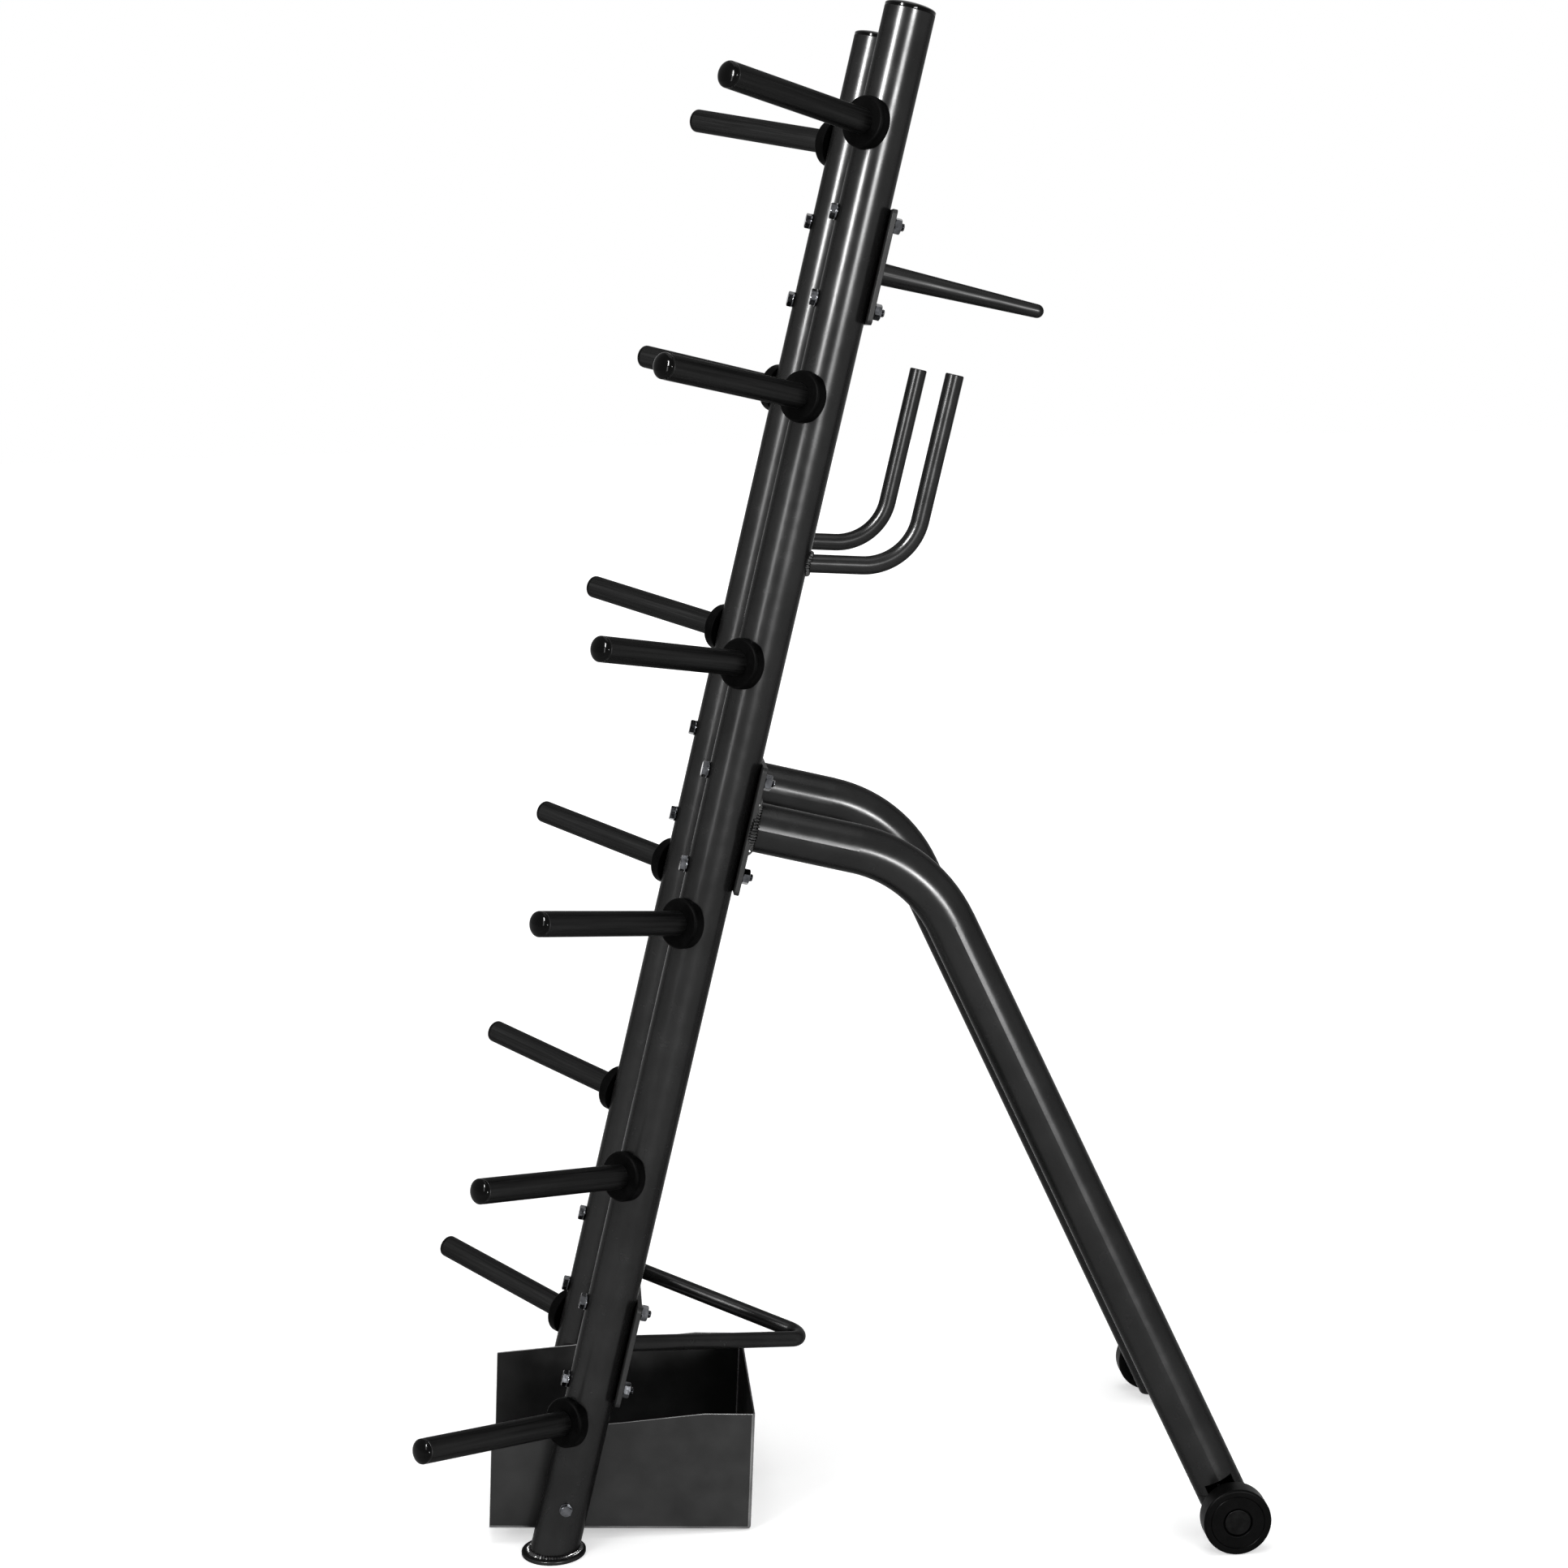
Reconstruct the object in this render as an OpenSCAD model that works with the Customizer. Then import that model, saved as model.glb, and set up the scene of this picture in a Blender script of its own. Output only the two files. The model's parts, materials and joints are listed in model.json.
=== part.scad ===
/* [Uprights] */
// Outer diameter of the two upright tubes
tube_d = 60; // [52:1:66]
// Wall thickness of the upright and leg tubes
tube_wall = 2; // [1.5:0.1:4]
// Distance between the axes of the two uprights
upright_spacing = 350; // [320:1:420]
// How far the uprights lean back from vertical, in degrees
lean_angle = 14.3; // [10:0.1:18]
// Length of an upright along its axis, from the floor
upright_length = 1911; // [1880:1:2100]
// Height of the domed cap above an upright's end
upright_cap_h = 9; // [6:1:20]
// Diameter of the round foot flange
flange_d = 80; // [76:1:110]
// Thickness of the foot flange
flange_t = 5; // [4:0.5:8]

/* [Plate pegs] */
// Outer diameter of a plate peg
peg_d = 30; // [24:1:34]
// Wall thickness of a peg tube
peg_wall = 2; // [1.5:0.1:4]
// Length of a peg from the upright's surface to the tip of its cap
peg_length = 250; // [180:1:300]
// Number of pegs on each upright
pegs_per_upright = 6; // [6:1:6]
// Height of the lowest peg along the upright
first_peg_height = 178; // [170:1:190]
// Distance of the highest peg below the upright's end
top_peg_drop = 135.5; // [120:0.5:150]
// Angle of the pegs outwards from straight ahead, in degrees
peg_splay = 45; // [30:1:60]
// Height of the rounded part of a peg cap
peg_cap_h = 8; // [5:1:12]
// Diameter of the rubber disc at the root of a peg
disc_d = 61; // [50:1:66]
// Thickness of the rubber disc over the upright's surface
disc_t = 10; // [6:1:16]
// How far the rubber disc reaches down round the upright
disc_saddle = 5; // [2:1:8]
// Depth of the neck in a peg that holds its rubber disc
disc_neck = 0.5; // [0.3:0.1:0.8]

/* [Cross plates] */
// Thickness of the three cross plates
plate_t = 6; // [4:0.5:10]
// How far a cross plate runs out past an upright's axis
plate_overhang = 30; // [24:1:40]
// Distance of the upper cross plate's middle below the uprights' ends
upper_plate_drop = 290; // [270:1:310]
// Width of the upper cross plate, measured along the uprights
upper_plate_w = 135; // [125:1:160]
// Distance of the leg cross plate's middle below the legs' axes
leg_plate_drop = 3; // [0:1:10]
// Width of the leg cross plate, measured along the uprights
leg_plate_w = 158; // [148:1:190]
// Height of the lower cross plate's middle along the uprights
lower_plate_height = 275; // [270:1:300]
// Width of the lower cross plate, measured along the uprights
lower_plate_w = 130; // [125:1:150]
// Radius of the plates' corners
plate_corner_r = 6; // [2:1:12]
// Distance between the two bolts of an upright in the upper and lower plates
plate_bolt_pitch = 101; // [90:1:104]
// Distance between the two bolts of an upright in the leg plate
leg_bolt_pitch = 117; // [110:1:126]

/* [Bar peg and hooks] */
// Length of the tapered bar peg behind the upper plate
bar_peg_length = 225; // [150:1:260]
// Diameter of the tapered bar peg at the plate
bar_peg_root_d = 28; // [22:1:36]
// Diameter of the tapered bar peg at its tip
bar_peg_tip_d = 17; // [12:1:20]
// Diameter of the hooks' round bar
hook_d = 22; // [16:1:26]
// Height along the uprights at which the hooks' lower runs start
hook_height = 1262; // [1200:1:1320]
// Angle by which a hook's lower run rises from square to its upright
hook_tilt = 10.5; // [0:0.5:14]
// Distance of a hook's rising arm behind the upright's axis
hook_reach = 148; // [120:1:180]
// Bend radius of a hook on its centre line
hook_bend_r = 68; // [30:1:90]
// Height of a hook's tip above the start of its lower run
hook_rise = 259; // [150:1:280]

/* [Rear legs] */
// Height at which the legs leave the leg plate, along the uprights
leg_height = 946; // [920:1:980]
// Distance of a leg's bend corner behind the upright's axis
leg_corner = 247; // [200:1:280]
// Bend radius of a leg on its centre line
leg_bend_r = 170; // [120:1:190]
// Bend of a leg downwards from its first run, in degrees
leg_bend = 51.7; // [48:0.1:55]
// Outward tilt of a leg's plane, in degrees
leg_tilt = 4.1; // [2:0.1:6]
// Length of the end block past the wheel axle
leg_tail = 20; // [14:1:24]
// Height of the seam between leg tube and end block above the wheel axle, along the leg
leg_seam = 29; // [24:1:34]
// Chamfer of the end block at the seam
seam_chamfer = 1; // [0.5:0.1:1.5]
// Length of the end block's plug inside the leg tube
leg_plug_h = 26; // [20:1:40]
// Height of the notch's floor above the wheel axle, along the leg
notch_floor = 16; // [14:1:20]
// Height of the notch for the nut in the leg's outer side
notch_h = 26; // [22:1:34]
// Width of that notch
notch_w = 36; // [30:1:40]

/* [Wheels] */
// Diameter of the transport wheels
wheel_d = 84; // [76:1:100]
// Width of the transport wheels
wheel_w = 28; // [20:1:36]
// Radius of the wheel's rounded edges
wheel_edge_r = 3; // [1:0.5:5]
// Diameter of the round recess in a wheel's outer face
hub_recess_d = 36; // [32:1:44]
// Depth of that recess
hub_recess_depth = 4; // [3:0.5:6]
// Diameter of the wheel axle
axle_d = 12; // [8:1:14]
// Room between leg tube and wheel
wheel_gap = 3; // [2:0.5:6]

/* [V loop] */
// Diameter of the loop's round bar
loop_d = 20; // [14:1:24]
// Distance of the loop's outer apex behind the uprights' axes
loop_reach = 273; // [220:1:300]
// Distance between the two ends of the loop on the plate
loop_root_w = 300; // [240:1:320]
// Bend radius of the loop on its centre line
loop_bend_r = 22; // [16:1:40]

/* [Tray] */
// Length of the tray's floor
tray_length = 328; // [280:1:350]
// Height of the side walls at the open front
tray_front_h = 122; // [110:1:140]
// Height of the side walls at the rear
tray_rear_h = 153; // [140:1:170]
// Distance of the rim's kink from the rear wall
tray_kink = 63; // [40:1:100]
// Sheet thickness of the tray
tray_t = 2; // [1.5:0.5:3]
// Inner radius of the tray's bends
tray_bend_r = 3; // [2:1:8]
// Fall of the tray's floor towards the rear, in degrees
tray_tilt = 3.4; // [2:0.1:5]
// How far the tray's front reaches ahead of the uprights at the floor
tray_front = 80; // [60:1:90]
// Height of the tray's rear edge over the floor
tray_rear_lift = 2.5; // [2:0.5:10]
// Height of the tray bolts along the uprights
tray_bolt_height = 70.4; // [60:1:90]

/* [Fasteners] */
// Thread diameter of the bolts through the plates
bolt_d = 10; // [8:1:12]
// Width across flats of the plate bolts' heads and nuts
bolt_af = 17; // [15:1:19]
// Thread diameter of the tray bolts
tray_bolt_d = 8; // [6:1:10]
// Width across flats of the tray bolts' heads and nuts
tray_bolt_af = 13; // [12:1:15]
// Thickness of the washers
washer_t = 2; // [1.5:0.5:3]
// Outer diameter of a washer as a multiple of its bolt's diameter
washer_ratio = 2; // [1.9:0.1:2.2]
// Radial play of a bolt in its hole
hole_play = 0.3; // [0.1:0.1:0.5]

/* [Fits] */
// Gap at a seat where a flat or round piece meets a round tube
seat_gap = 0.2; // [0.1:0.1:0.3]
// Radial play of a bolt in its nut
thread_play = 0.05; // [0.02:0.01:0.1]
// Radial play of a plug in its tube
plug_play = 0.15; // [0.1:0.05:0.3]
// Radial running clearance of a wheel on its axle
running_play = 0.08; // [0.05:0.01:0.1]
// End play of a wheel on its axle
end_play = 0.4; // [0.3:0.1:0.6]

/* [Hidden] */
$fn = 96;
SIDES = [["right", 1], ["left", -1]];
PEG_NUMBERS = [for (number = [1 : pegs_per_upright]) number];

PAINT = "#33353a";
DARK_PAINT = "#222326";
PLASTIC = "#121214";
RUBBER = "#18181a";
ZINC = "#c8ccd0";

tube_r = tube_d / 2;
peg_r = peg_d / 2;
cut = 1;
peg_pitch = (upright_length - top_peg_drop - first_peg_height) / (pegs_per_upright - 1);
peg_dome_share = 0.75;
bend_draw = 0.1;
bend_overrun = 1;
upper_plate_height = upright_length - upper_plate_drop;
leg_plate_height = leg_height - leg_plate_drop;
upper_bolts = [for (step = [-1, 1]) upper_plate_height + step * plate_bolt_pitch / 2];
leg_bolts = [for (step = [-1, 1]) leg_plate_height + step * leg_bolt_pitch / 2];
lower_bolts = [for (step = [-1, 1]) lower_plate_height + step * plate_bolt_pitch / 2];
plate_bolt_heights = concat(upper_bolts, leg_bolts, lower_bolts);
plate_front = tube_r + seat_gap;
plate_rear = plate_front + plate_t;
plate_length = upright_spacing + 2 * plate_overhang;

head_h = 0.64 * bolt_d;
nut_h = 0.84 * bolt_d;
thread_out = 0.4 * bolt_d;
tray_head_h = 0.66 * tray_bolt_d;
tray_nut_h = 0.8 * tray_bolt_d;
tray_thread_out = 0.3 * tray_bolt_d;

stud_foot = axle_d / 2 + hole_play + 2;
stud_top = notch_floor + washer_t + nut_h + thread_out;
notch_back = washer_ratio * bolt_d / 2 + 1;
leg_tangent = leg_bend_r * tan(leg_bend / 2);
leg_corner_z = leg_height * cos(lean_angle) - leg_corner * sin(lean_angle);
leg_fall = cos(leg_bend) * sin(lean_angle) + sin(leg_bend) * cos(leg_tilt) * cos(lean_angle);
leg_length = (leg_corner_z - wheel_d / 2) / leg_fall;
leg_back = leg_corner + cos(leg_bend) * leg_length;
leg_down = sin(leg_bend) * leg_length;
axle_x = upright_spacing / 2 + leg_down * sin(leg_tilt);
axle_y = (leg_height - leg_down * cos(leg_tilt)) * sin(lean_angle) + leg_back * cos(lean_angle);
axle_z = wheel_d / 2;
wheel_inner_x = axle_x + tube_r + wheel_gap;
wheel_outer_x = wheel_inner_x + wheel_w;
bore_r = tube_r - tube_wall;

peg_cap_rim = tube_r + peg_length - peg_dome_share * peg_cap_h;
peg_aim = cos(peg_splay) * cos(lean_angle);
front_y = first_peg_height * sin(lean_angle) - peg_cap_rim * peg_aim - peg_r * sqrt(1 - peg_aim * peg_aim);
rear_y = axle_y + wheel_d / 2;
origin_y = (front_y + rear_y) / 2;

tray_w = upright_spacing - tube_d - 2 * seat_gap;
tray_front_z = tray_rear_lift + tray_length * sin(tray_tilt);
tray_inner_z = tray_w / 2 - tray_t;
tray_head_z = upright_spacing / 2 + tube_r + seat_gap + washer_t;

// Frame of an upright: x to the side, y straight behind it, z up along it
module at_uprights(side) {
    translate([side * upright_spacing / 2, -origin_y, 0]) rotate([-lean_angle, 0, 0]) children();
}

// Frame midway between the uprights
module at_middle() {
    translate([0, -origin_y, 0]) rotate([-lean_angle, 0, 0]) children();
}

// Frame of a peg: z runs out along the peg from the upright's axis
module at_peg(side, number) {
    at_uprights(side)
        translate([0, 0, first_peg_height + (number - 1) * peg_pitch])
            rotate([90, 0, side * peg_splay]) children();
}

// Frame of a leg's plane: x to the side, y behind, z up, at the height where the leg starts
module at_leg(side) {
    at_uprights(side) translate([0, 0, leg_height]) rotate([0, -side * leg_tilt, 0]) children();
}

// Frame of a leg's lower part: z up along the leg from the wheel axle, x to the side
module at_leg_end(side) {
    at_leg(side)
        translate([0, leg_corner, 0])
            rotate([90 - leg_bend, 0, 0])
                translate([0, 0, -leg_length]) children();
}

// Frame of a wheel axle: z runs outwards along the axle from the middle of the stand
module at_axle(side) {
    translate([0, axle_y - origin_y, axle_z]) rotate([0, side * 90, 0]) children();
}

module hexagon(across_flats, height) {
    cylinder(h = height, d = across_flats / cos(30), $fn = 6);
}

// Space taken by an upright, with the gap that its seats keep
module upright_space(side) {
    at_uprights(side) translate([0, 0, -cut]) cylinder(h = upright_length + 2 * cut, r = tube_r + seat_gap);
}

// Space taken by the straight part of a leg, with the gap that its seats keep
module leg_space(side) {
    at_leg_end(side) translate([0, 0, -leg_tail - cut]) cylinder(h = leg_length / 2, r = tube_r + seat_gap);
}

module upright(side) {
    color(PAINT) difference() {
        at_uprights(side) translate([0, 0, -tube_d]) difference() {
            cylinder(h = upright_length + tube_d, r = tube_r);
            translate([0, 0, -cut]) cylinder(h = upright_length + tube_d + 2 * cut, r = bore_r);
        }
        translate([side * upright_spacing / 2 - tube_d, -tube_d - origin_y, flange_t - 2 * tube_d])
            cube([2 * tube_d, 2 * tube_d, 2 * tube_d]);
        at_uprights(side) for (height = plate_bolt_heights)
            translate([0, tube_d, height]) rotate([90, 0, 0])
                cylinder(h = 2 * tube_d, r = bolt_d / 2 + hole_play);
        at_uprights(side) translate([-tube_d, 0, tray_bolt_height]) rotate([0, 90, 0])
            cylinder(h = 2 * tube_d, r = tray_bolt_d / 2 + hole_play);
    }
}

// Rounded cap: a short dome over a round edge, with a plug into the tube below it
module domed_cap(outer_r, plug_r, rim_h, dome_h, plug_h) {
    dome_r = (outer_r * outer_r + dome_h * dome_h) / (2 * dome_h);
    cylinder(h = rim_h, r = outer_r);
    translate([0, 0, rim_h]) intersection() {
        cylinder(h = dome_h + cut, r = outer_r);
        translate([0, 0, dome_h - dome_r]) sphere(r = dome_r);
    }
    translate([0, 0, -plug_h]) cylinder(h = plug_h + cut, r = plug_r);
}

module upright_cap(side) {
    rim_h = upright_cap_h / 3;
    color(PLASTIC) at_uprights(side) translate([0, 0, upright_length])
        domed_cap(tube_r, bore_r - plug_play, rim_h, upright_cap_h - rim_h, tube_r);
}

module foot_flange(side) {
    color(PAINT) translate([side * upright_spacing / 2, -origin_y, 0]) cylinder(h = flange_t, d = flange_d);
}

module peg(side, number) {
    color(DARK_PAINT) difference() {
        at_peg(side, number) difference() {
            union() {
                cylinder(h = tube_r + disc_t + cut, r = peg_r - disc_neck);
                translate([0, 0, tube_r + disc_t]) cylinder(h = peg_length - disc_t - peg_cap_h, r = peg_r);
            }
            translate([0, 0, -cut]) cylinder(h = tube_r + peg_length + 2 * cut, r = peg_r - peg_wall);
        }
        upright_space(side);
    }
}

module peg_cap(side, number) {
    dome_h = peg_dome_share * peg_cap_h;
    color(PLASTIC) at_peg(side, number) translate([0, 0, tube_r + peg_length - peg_cap_h])
        domed_cap(peg_r, peg_r - peg_wall - plug_play, peg_cap_h - dome_h, dome_h, peg_r);
}

module peg_discs(side) {
    color(RUBBER) difference() {
        for (number = PEG_NUMBERS) at_peg(side, number) translate([0, 0, tube_r - disc_saddle]) difference() {
            cylinder(h = disc_saddle + disc_t, d = disc_d);
            translate([0, 0, -cut]) cylinder(h = disc_saddle + disc_t + 2 * cut, r = peg_r - disc_neck + plug_play);
        }
        upright_space(side);
    }
}

// Flat plate across both uprights, with rounded corners and its bolt holes
module cross_plate(height, width, bolt_heights) {
    reach_x = plate_length / 2 - plate_corner_r;
    reach_z = width / 2 - plate_corner_r;
    color(PAINT) at_middle() difference() {
        translate([0, plate_rear, height]) rotate([90, 0, 0]) union() {
            translate([-reach_x, -width / 2, 0]) cube([2 * reach_x, width, plate_t]);
            translate([-plate_length / 2, -reach_z, 0]) cube([plate_length, 2 * reach_z, plate_t]);
            for (x = [-reach_x, reach_x]) for (z = [-reach_z, reach_z])
                translate([x, z, 0]) cylinder(h = plate_t, r = plate_corner_r);
        }
        for (x = [-1, 1]) for (bolt_height = bolt_heights)
            translate([x * upright_spacing / 2, plate_rear + cut, bolt_height]) rotate([90, 0, 0])
                cylinder(h = plate_t + 2 * cut, r = bolt_d / 2 + hole_play);
    }
}

module bar_peg() {
    root_r = bar_peg_root_d / 2;
    tip_r = bar_peg_tip_d / 2;
    color(PAINT) at_middle() translate([0, plate_rear, upper_plate_height]) rotate([-90, 0, 0]) {
        cylinder(h = bar_peg_length - tip_r, r1 = root_r, r2 = tip_r);
        translate([0, 0, bar_peg_length - tip_r]) sphere(r = tip_r);
    }
}

module j_hook(side) {
    rod_r = hook_d / 2;
    bend = 90 - hook_tilt;
    tangent = hook_bend_r * tan(bend / 2);
    straight = hook_reach / cos(hook_tilt) - tangent;
    arm_start = hook_reach * tan(hook_tilt) + tangent;
    color(PAINT) difference() {
        at_uprights(side) translate([0, 0, hook_height]) {
            rotate([-bend, 0, 0]) cylinder(h = straight, r = rod_r);
            translate([0, hook_reach - hook_bend_r, arm_start]) rotate([0, 90, 0])
                rotate([0, 0, hook_tilt - bend_overrun]) rotate_extrude(angle = bend + 2 * bend_overrun)
                    translate([hook_bend_r, 0]) circle(r = rod_r - bend_draw);
            translate([0, hook_reach, arm_start]) cylinder(h = hook_rise - arm_start, r = rod_r);
        }
        upright_space(side);
    }
}

// Solid bar along a leg's centre line, from the leg plate to the end block; extra lengthens both
// ends. The tube draws in a little where it is bent, and its bend runs on into the straight parts.
module leg_bar(side, bar_r, extra) {
    run = leg_corner - leg_tangent - plate_rear;
    at_leg(side) translate([0, plate_rear - extra, 0]) rotate([-90, 0, 0]) cylinder(h = run + extra, r = bar_r);
    at_leg(side) translate([0, leg_corner - leg_tangent, -leg_bend_r]) rotate([bend_overrun, 0, 0])
        rotate([0, -90, 0]) rotate_extrude(angle = leg_bend + 2 * bend_overrun)
            translate([leg_bend_r, 0]) circle(r = bar_r - bend_draw);
    at_leg_end(side) translate([0, 0, leg_seam - extra])
        cylinder(h = leg_length - leg_tangent - leg_seam + extra, r = bar_r);
}

// Space round the stud's nut, open to the leg's outer side
module leg_notch(side) {
    at_leg_end(side) translate([side > 0 ? -notch_back : -tube_d, -notch_w / 2, notch_floor])
        cube([tube_d + notch_back, notch_w, notch_h]);
}

module rear_leg(side) {
    color(PAINT) difference() {
        leg_bar(side, tube_r, 0);
        leg_bar(side, bore_r, cut);
        leg_notch(side);
    }
}

// Block that closes the leg and carries the axle, with a plug into the tube above it
module leg_end_block(side) {
    color(PAINT) difference() {
        at_leg_end(side) {
            translate([0, 0, -leg_tail]) cylinder(h = leg_tail + leg_seam - seam_chamfer, r = tube_r);
            translate([0, 0, leg_seam - seam_chamfer])
                cylinder(h = seam_chamfer, r1 = tube_r, r2 = tube_r - seam_chamfer);
            cylinder(h = leg_seam + leg_plug_h, r = bore_r - plug_play);
        }
        leg_notch(side);
        at_leg_end(side) translate([0, 0, stud_foot]) cylinder(h = notch_floor, r = bolt_d / 2 + thread_play);
        at_axle(side) cylinder(h = 2 * axle_x, r = axle_d / 2 + hole_play);
    }
}

module leg_end_studs() {
    color(ZINC) for (side = [1, -1]) at_leg_end(side) translate([0, 0, stud_foot])
        cylinder(h = stud_top - stud_foot, r = bolt_d / 2);
}

module leg_end_washers() {
    color(ZINC) for (side = [1, -1]) at_leg_end(side) translate([0, 0, notch_floor]) washer(bolt_d);
}

module leg_end_nuts() {
    color(ZINC) for (side = [1, -1]) at_leg_end(side) translate([0, 0, notch_floor + washer_t])
        nut(bolt_d, bolt_af, nut_h);
}

module washer(thread_d) {
    difference() {
        cylinder(h = washer_t, d = washer_ratio * thread_d);
        translate([0, 0, -cut]) cylinder(h = washer_t + 2 * cut, r = thread_d / 2 + hole_play);
    }
}

module nut(thread_d, across_flats, height) {
    difference() {
        hexagon(across_flats, height);
        translate([0, 0, -cut]) cylinder(h = height + 2 * cut, r = thread_d / 2 + thread_play);
    }
}

module wheel(side) {
    wheel_r = wheel_d / 2;
    color(RUBBER) at_axle(side) translate([0, 0, wheel_inner_x]) difference() {
        rotate_extrude() union() {
            square([wheel_r - wheel_edge_r, wheel_w]);
            translate([0, wheel_edge_r]) square([wheel_r, wheel_w - 2 * wheel_edge_r]);
            for (z = [wheel_edge_r, wheel_w - wheel_edge_r])
                translate([wheel_r - wheel_edge_r, z]) circle(r = wheel_edge_r);
        }
        translate([0, 0, -cut]) cylinder(h = wheel_w + 2 * cut, r = axle_d / 2 + running_play);
        translate([0, 0, wheel_w - hub_recess_depth]) cylinder(h = 2 * hub_recess_depth, d = hub_recess_d);
    }
}

// Axle bolt with a flat round head in the wheel's recess
module wheel_axle(side) {
    inner_z = axle_x - tube_r - washer_t - nut_h - thread_out;
    head_z = wheel_outer_x - hub_recess_depth + end_play;
    color(PLASTIC) at_axle(side) {
        translate([0, 0, inner_z]) cylinder(h = head_z - inner_z, d = axle_d);
        translate([0, 0, head_z]) cylinder(h = hub_recess_depth - 1, d = hub_recess_d - 4);
    }
}

module axle_spacers() {
    color(PLASTIC) difference() {
        for (side = [1, -1]) at_axle(side) {
            translate([0, 0, axle_x]) spacer(wheel_inner_x - end_play - axle_x);
            translate([0, 0, axle_x - tube_r - washer_t]) spacer(tube_r + washer_t);
        }
        for (side = [1, -1]) leg_space(side);
    }
}

module spacer(height) {
    difference() {
        cylinder(h = height, d = 2 * axle_d);
        translate([0, 0, -cut]) cylinder(h = height + 2 * cut, r = axle_d / 2 + hole_play);
    }
}

module axle_nuts() {
    color(ZINC) for (side = [1, -1]) at_axle(side)
        translate([0, 0, axle_x - tube_r - washer_t - nut_h]) nut(axle_d, bolt_af + 2, nut_h);
}

module v_loop() {
    rod_r = loop_d / 2;
    centre = loop_reach - rod_r - loop_bend_r;
    depth = centre - plate_rear;
    half_w = loop_root_w / 2;
    span = sqrt(half_w * half_w + depth * depth);
    arm = sqrt(span * span - loop_bend_r * loop_bend_r);
    arm_angle = atan(half_w / depth) - asin(loop_bend_r / span);
    color(PAINT) at_middle() translate([0, 0, lower_plate_height]) difference() {
        union() {
            translate([0, centre, 0]) rotate([0, 0, arm_angle])
                rotate_extrude(angle = 180 - 2 * arm_angle) translate([loop_bend_r, 0]) circle(r = rod_r);
            for (x = [-1, 1]) translate([x * half_w, plate_rear, 0]) rotate([-90, 0, x * arm_angle])
                translate([0, 0, -loop_d]) cylinder(h = arm + loop_d, r = rod_r);
        }
        translate([-plate_length / 2, plate_rear - 2 * loop_d, -loop_d]) cube([plate_length, 2 * loop_d, 2 * loop_d]);
    }
}

// Side view of the tray: x runs back along its floor, y up
module tray_side() {
    kink_x = tray_length - tray_kink;
    outer_r = tray_bend_r + tray_t;
    difference() {
        polygon([[0, 0], [tray_length, 0], [tray_length, tray_rear_h], [kink_x, tray_rear_h], [0, tray_front_h]]);
        translate([tray_length - outer_r, -cut]) difference() {
            square([outer_r + cut, outer_r + cut]);
            translate([0, outer_r + cut]) circle(r = outer_r);
        }
    }
}

module at_tray() {
    translate([0, -tray_front - origin_y, tray_front_z]) rotate([-tray_tilt, 0, 0]) children();
}

module tray() {
    inner_w = tray_w - 2 * tray_t;
    color(PAINT) difference() {
        at_tray() translate([-tray_w / 2, 0, 0]) rotate([90, 0, 90]) linear_extrude(tray_w) tray_side();
        at_tray() translate([-inner_w / 2, 0, 0]) rotate([90, 0, 90]) linear_extrude(inner_w) tray_hollow();
        at_middle() translate([-tray_w, 0, tray_bolt_height]) rotate([0, 90, 0])
            cylinder(h = 2 * tray_w, r = tray_bolt_d / 2 + hole_play);
    }
}

// Side view of the space inside the tray, open at the front and the top
module tray_hollow() {
    difference() {
        translate([-cut, tray_t]) square([tray_length - tray_t + cut, tray_rear_h]);
        translate([tray_length - tray_t - tray_bend_r, tray_t]) difference() {
            square([tray_bend_r + cut, tray_bend_r]);
            translate([0, tray_bend_r]) circle(r = tray_bend_r);
        }
    }
}

// Places a fastener on each bolt line; z runs backwards through the upright
module at_plate_bolts() {
    for (side = [1, -1]) at_uprights(side) for (height = plate_bolt_heights)
        translate([0, 0, height]) rotate([-90, 0, 0]) children();
}

module plate_bolts() {
    head_z = -tube_r - seat_gap - washer_t;
    end_z = plate_rear + washer_t + nut_h + thread_out;
    color(ZINC) at_plate_bolts() {
        translate([0, 0, head_z - head_h]) hexagon(bolt_af, head_h);
        translate([0, 0, head_z - cut]) cylinder(h = end_z - head_z + cut, d = bolt_d);
    }
}

module plate_washers() {
    color(ZINC) at_plate_bolts() {
        translate([0, 0, -tube_r - seat_gap - washer_t]) washer(bolt_d);
        translate([0, 0, plate_rear]) washer(bolt_d);
    }
}

module plate_nuts() {
    color(ZINC) at_plate_bolts() translate([0, 0, plate_rear + washer_t]) nut(bolt_d, bolt_af, nut_h);
}

// Places a tray fastener on each side; z runs outwards from the middle of the stand
module at_tray_bolts() {
    for (side = [1, -1]) at_middle() translate([0, 0, tray_bolt_height]) rotate([0, side * 90, 0]) children();
}

module tray_bolts() {
    inner_z = tray_inner_z - washer_t - tray_nut_h - tray_thread_out;
    color(ZINC) at_tray_bolts() {
        translate([0, 0, inner_z]) cylinder(h = tray_head_z - inner_z + cut, d = tray_bolt_d);
        translate([0, 0, tray_head_z]) hexagon(tray_bolt_af, tray_head_h);
    }
}

module tray_washers() {
    color(ZINC) at_tray_bolts() {
        translate([0, 0, tray_head_z - washer_t]) washer(tray_bolt_d);
        translate([0, 0, tray_inner_z - washer_t]) washer(tray_bolt_d);
    }
}

module tray_nuts() {
    color(ZINC) at_tray_bolts() translate([0, 0, tray_inner_z - washer_t - tray_nut_h])
        nut(tray_bolt_d, tray_bolt_af, tray_nut_h);
}

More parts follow.
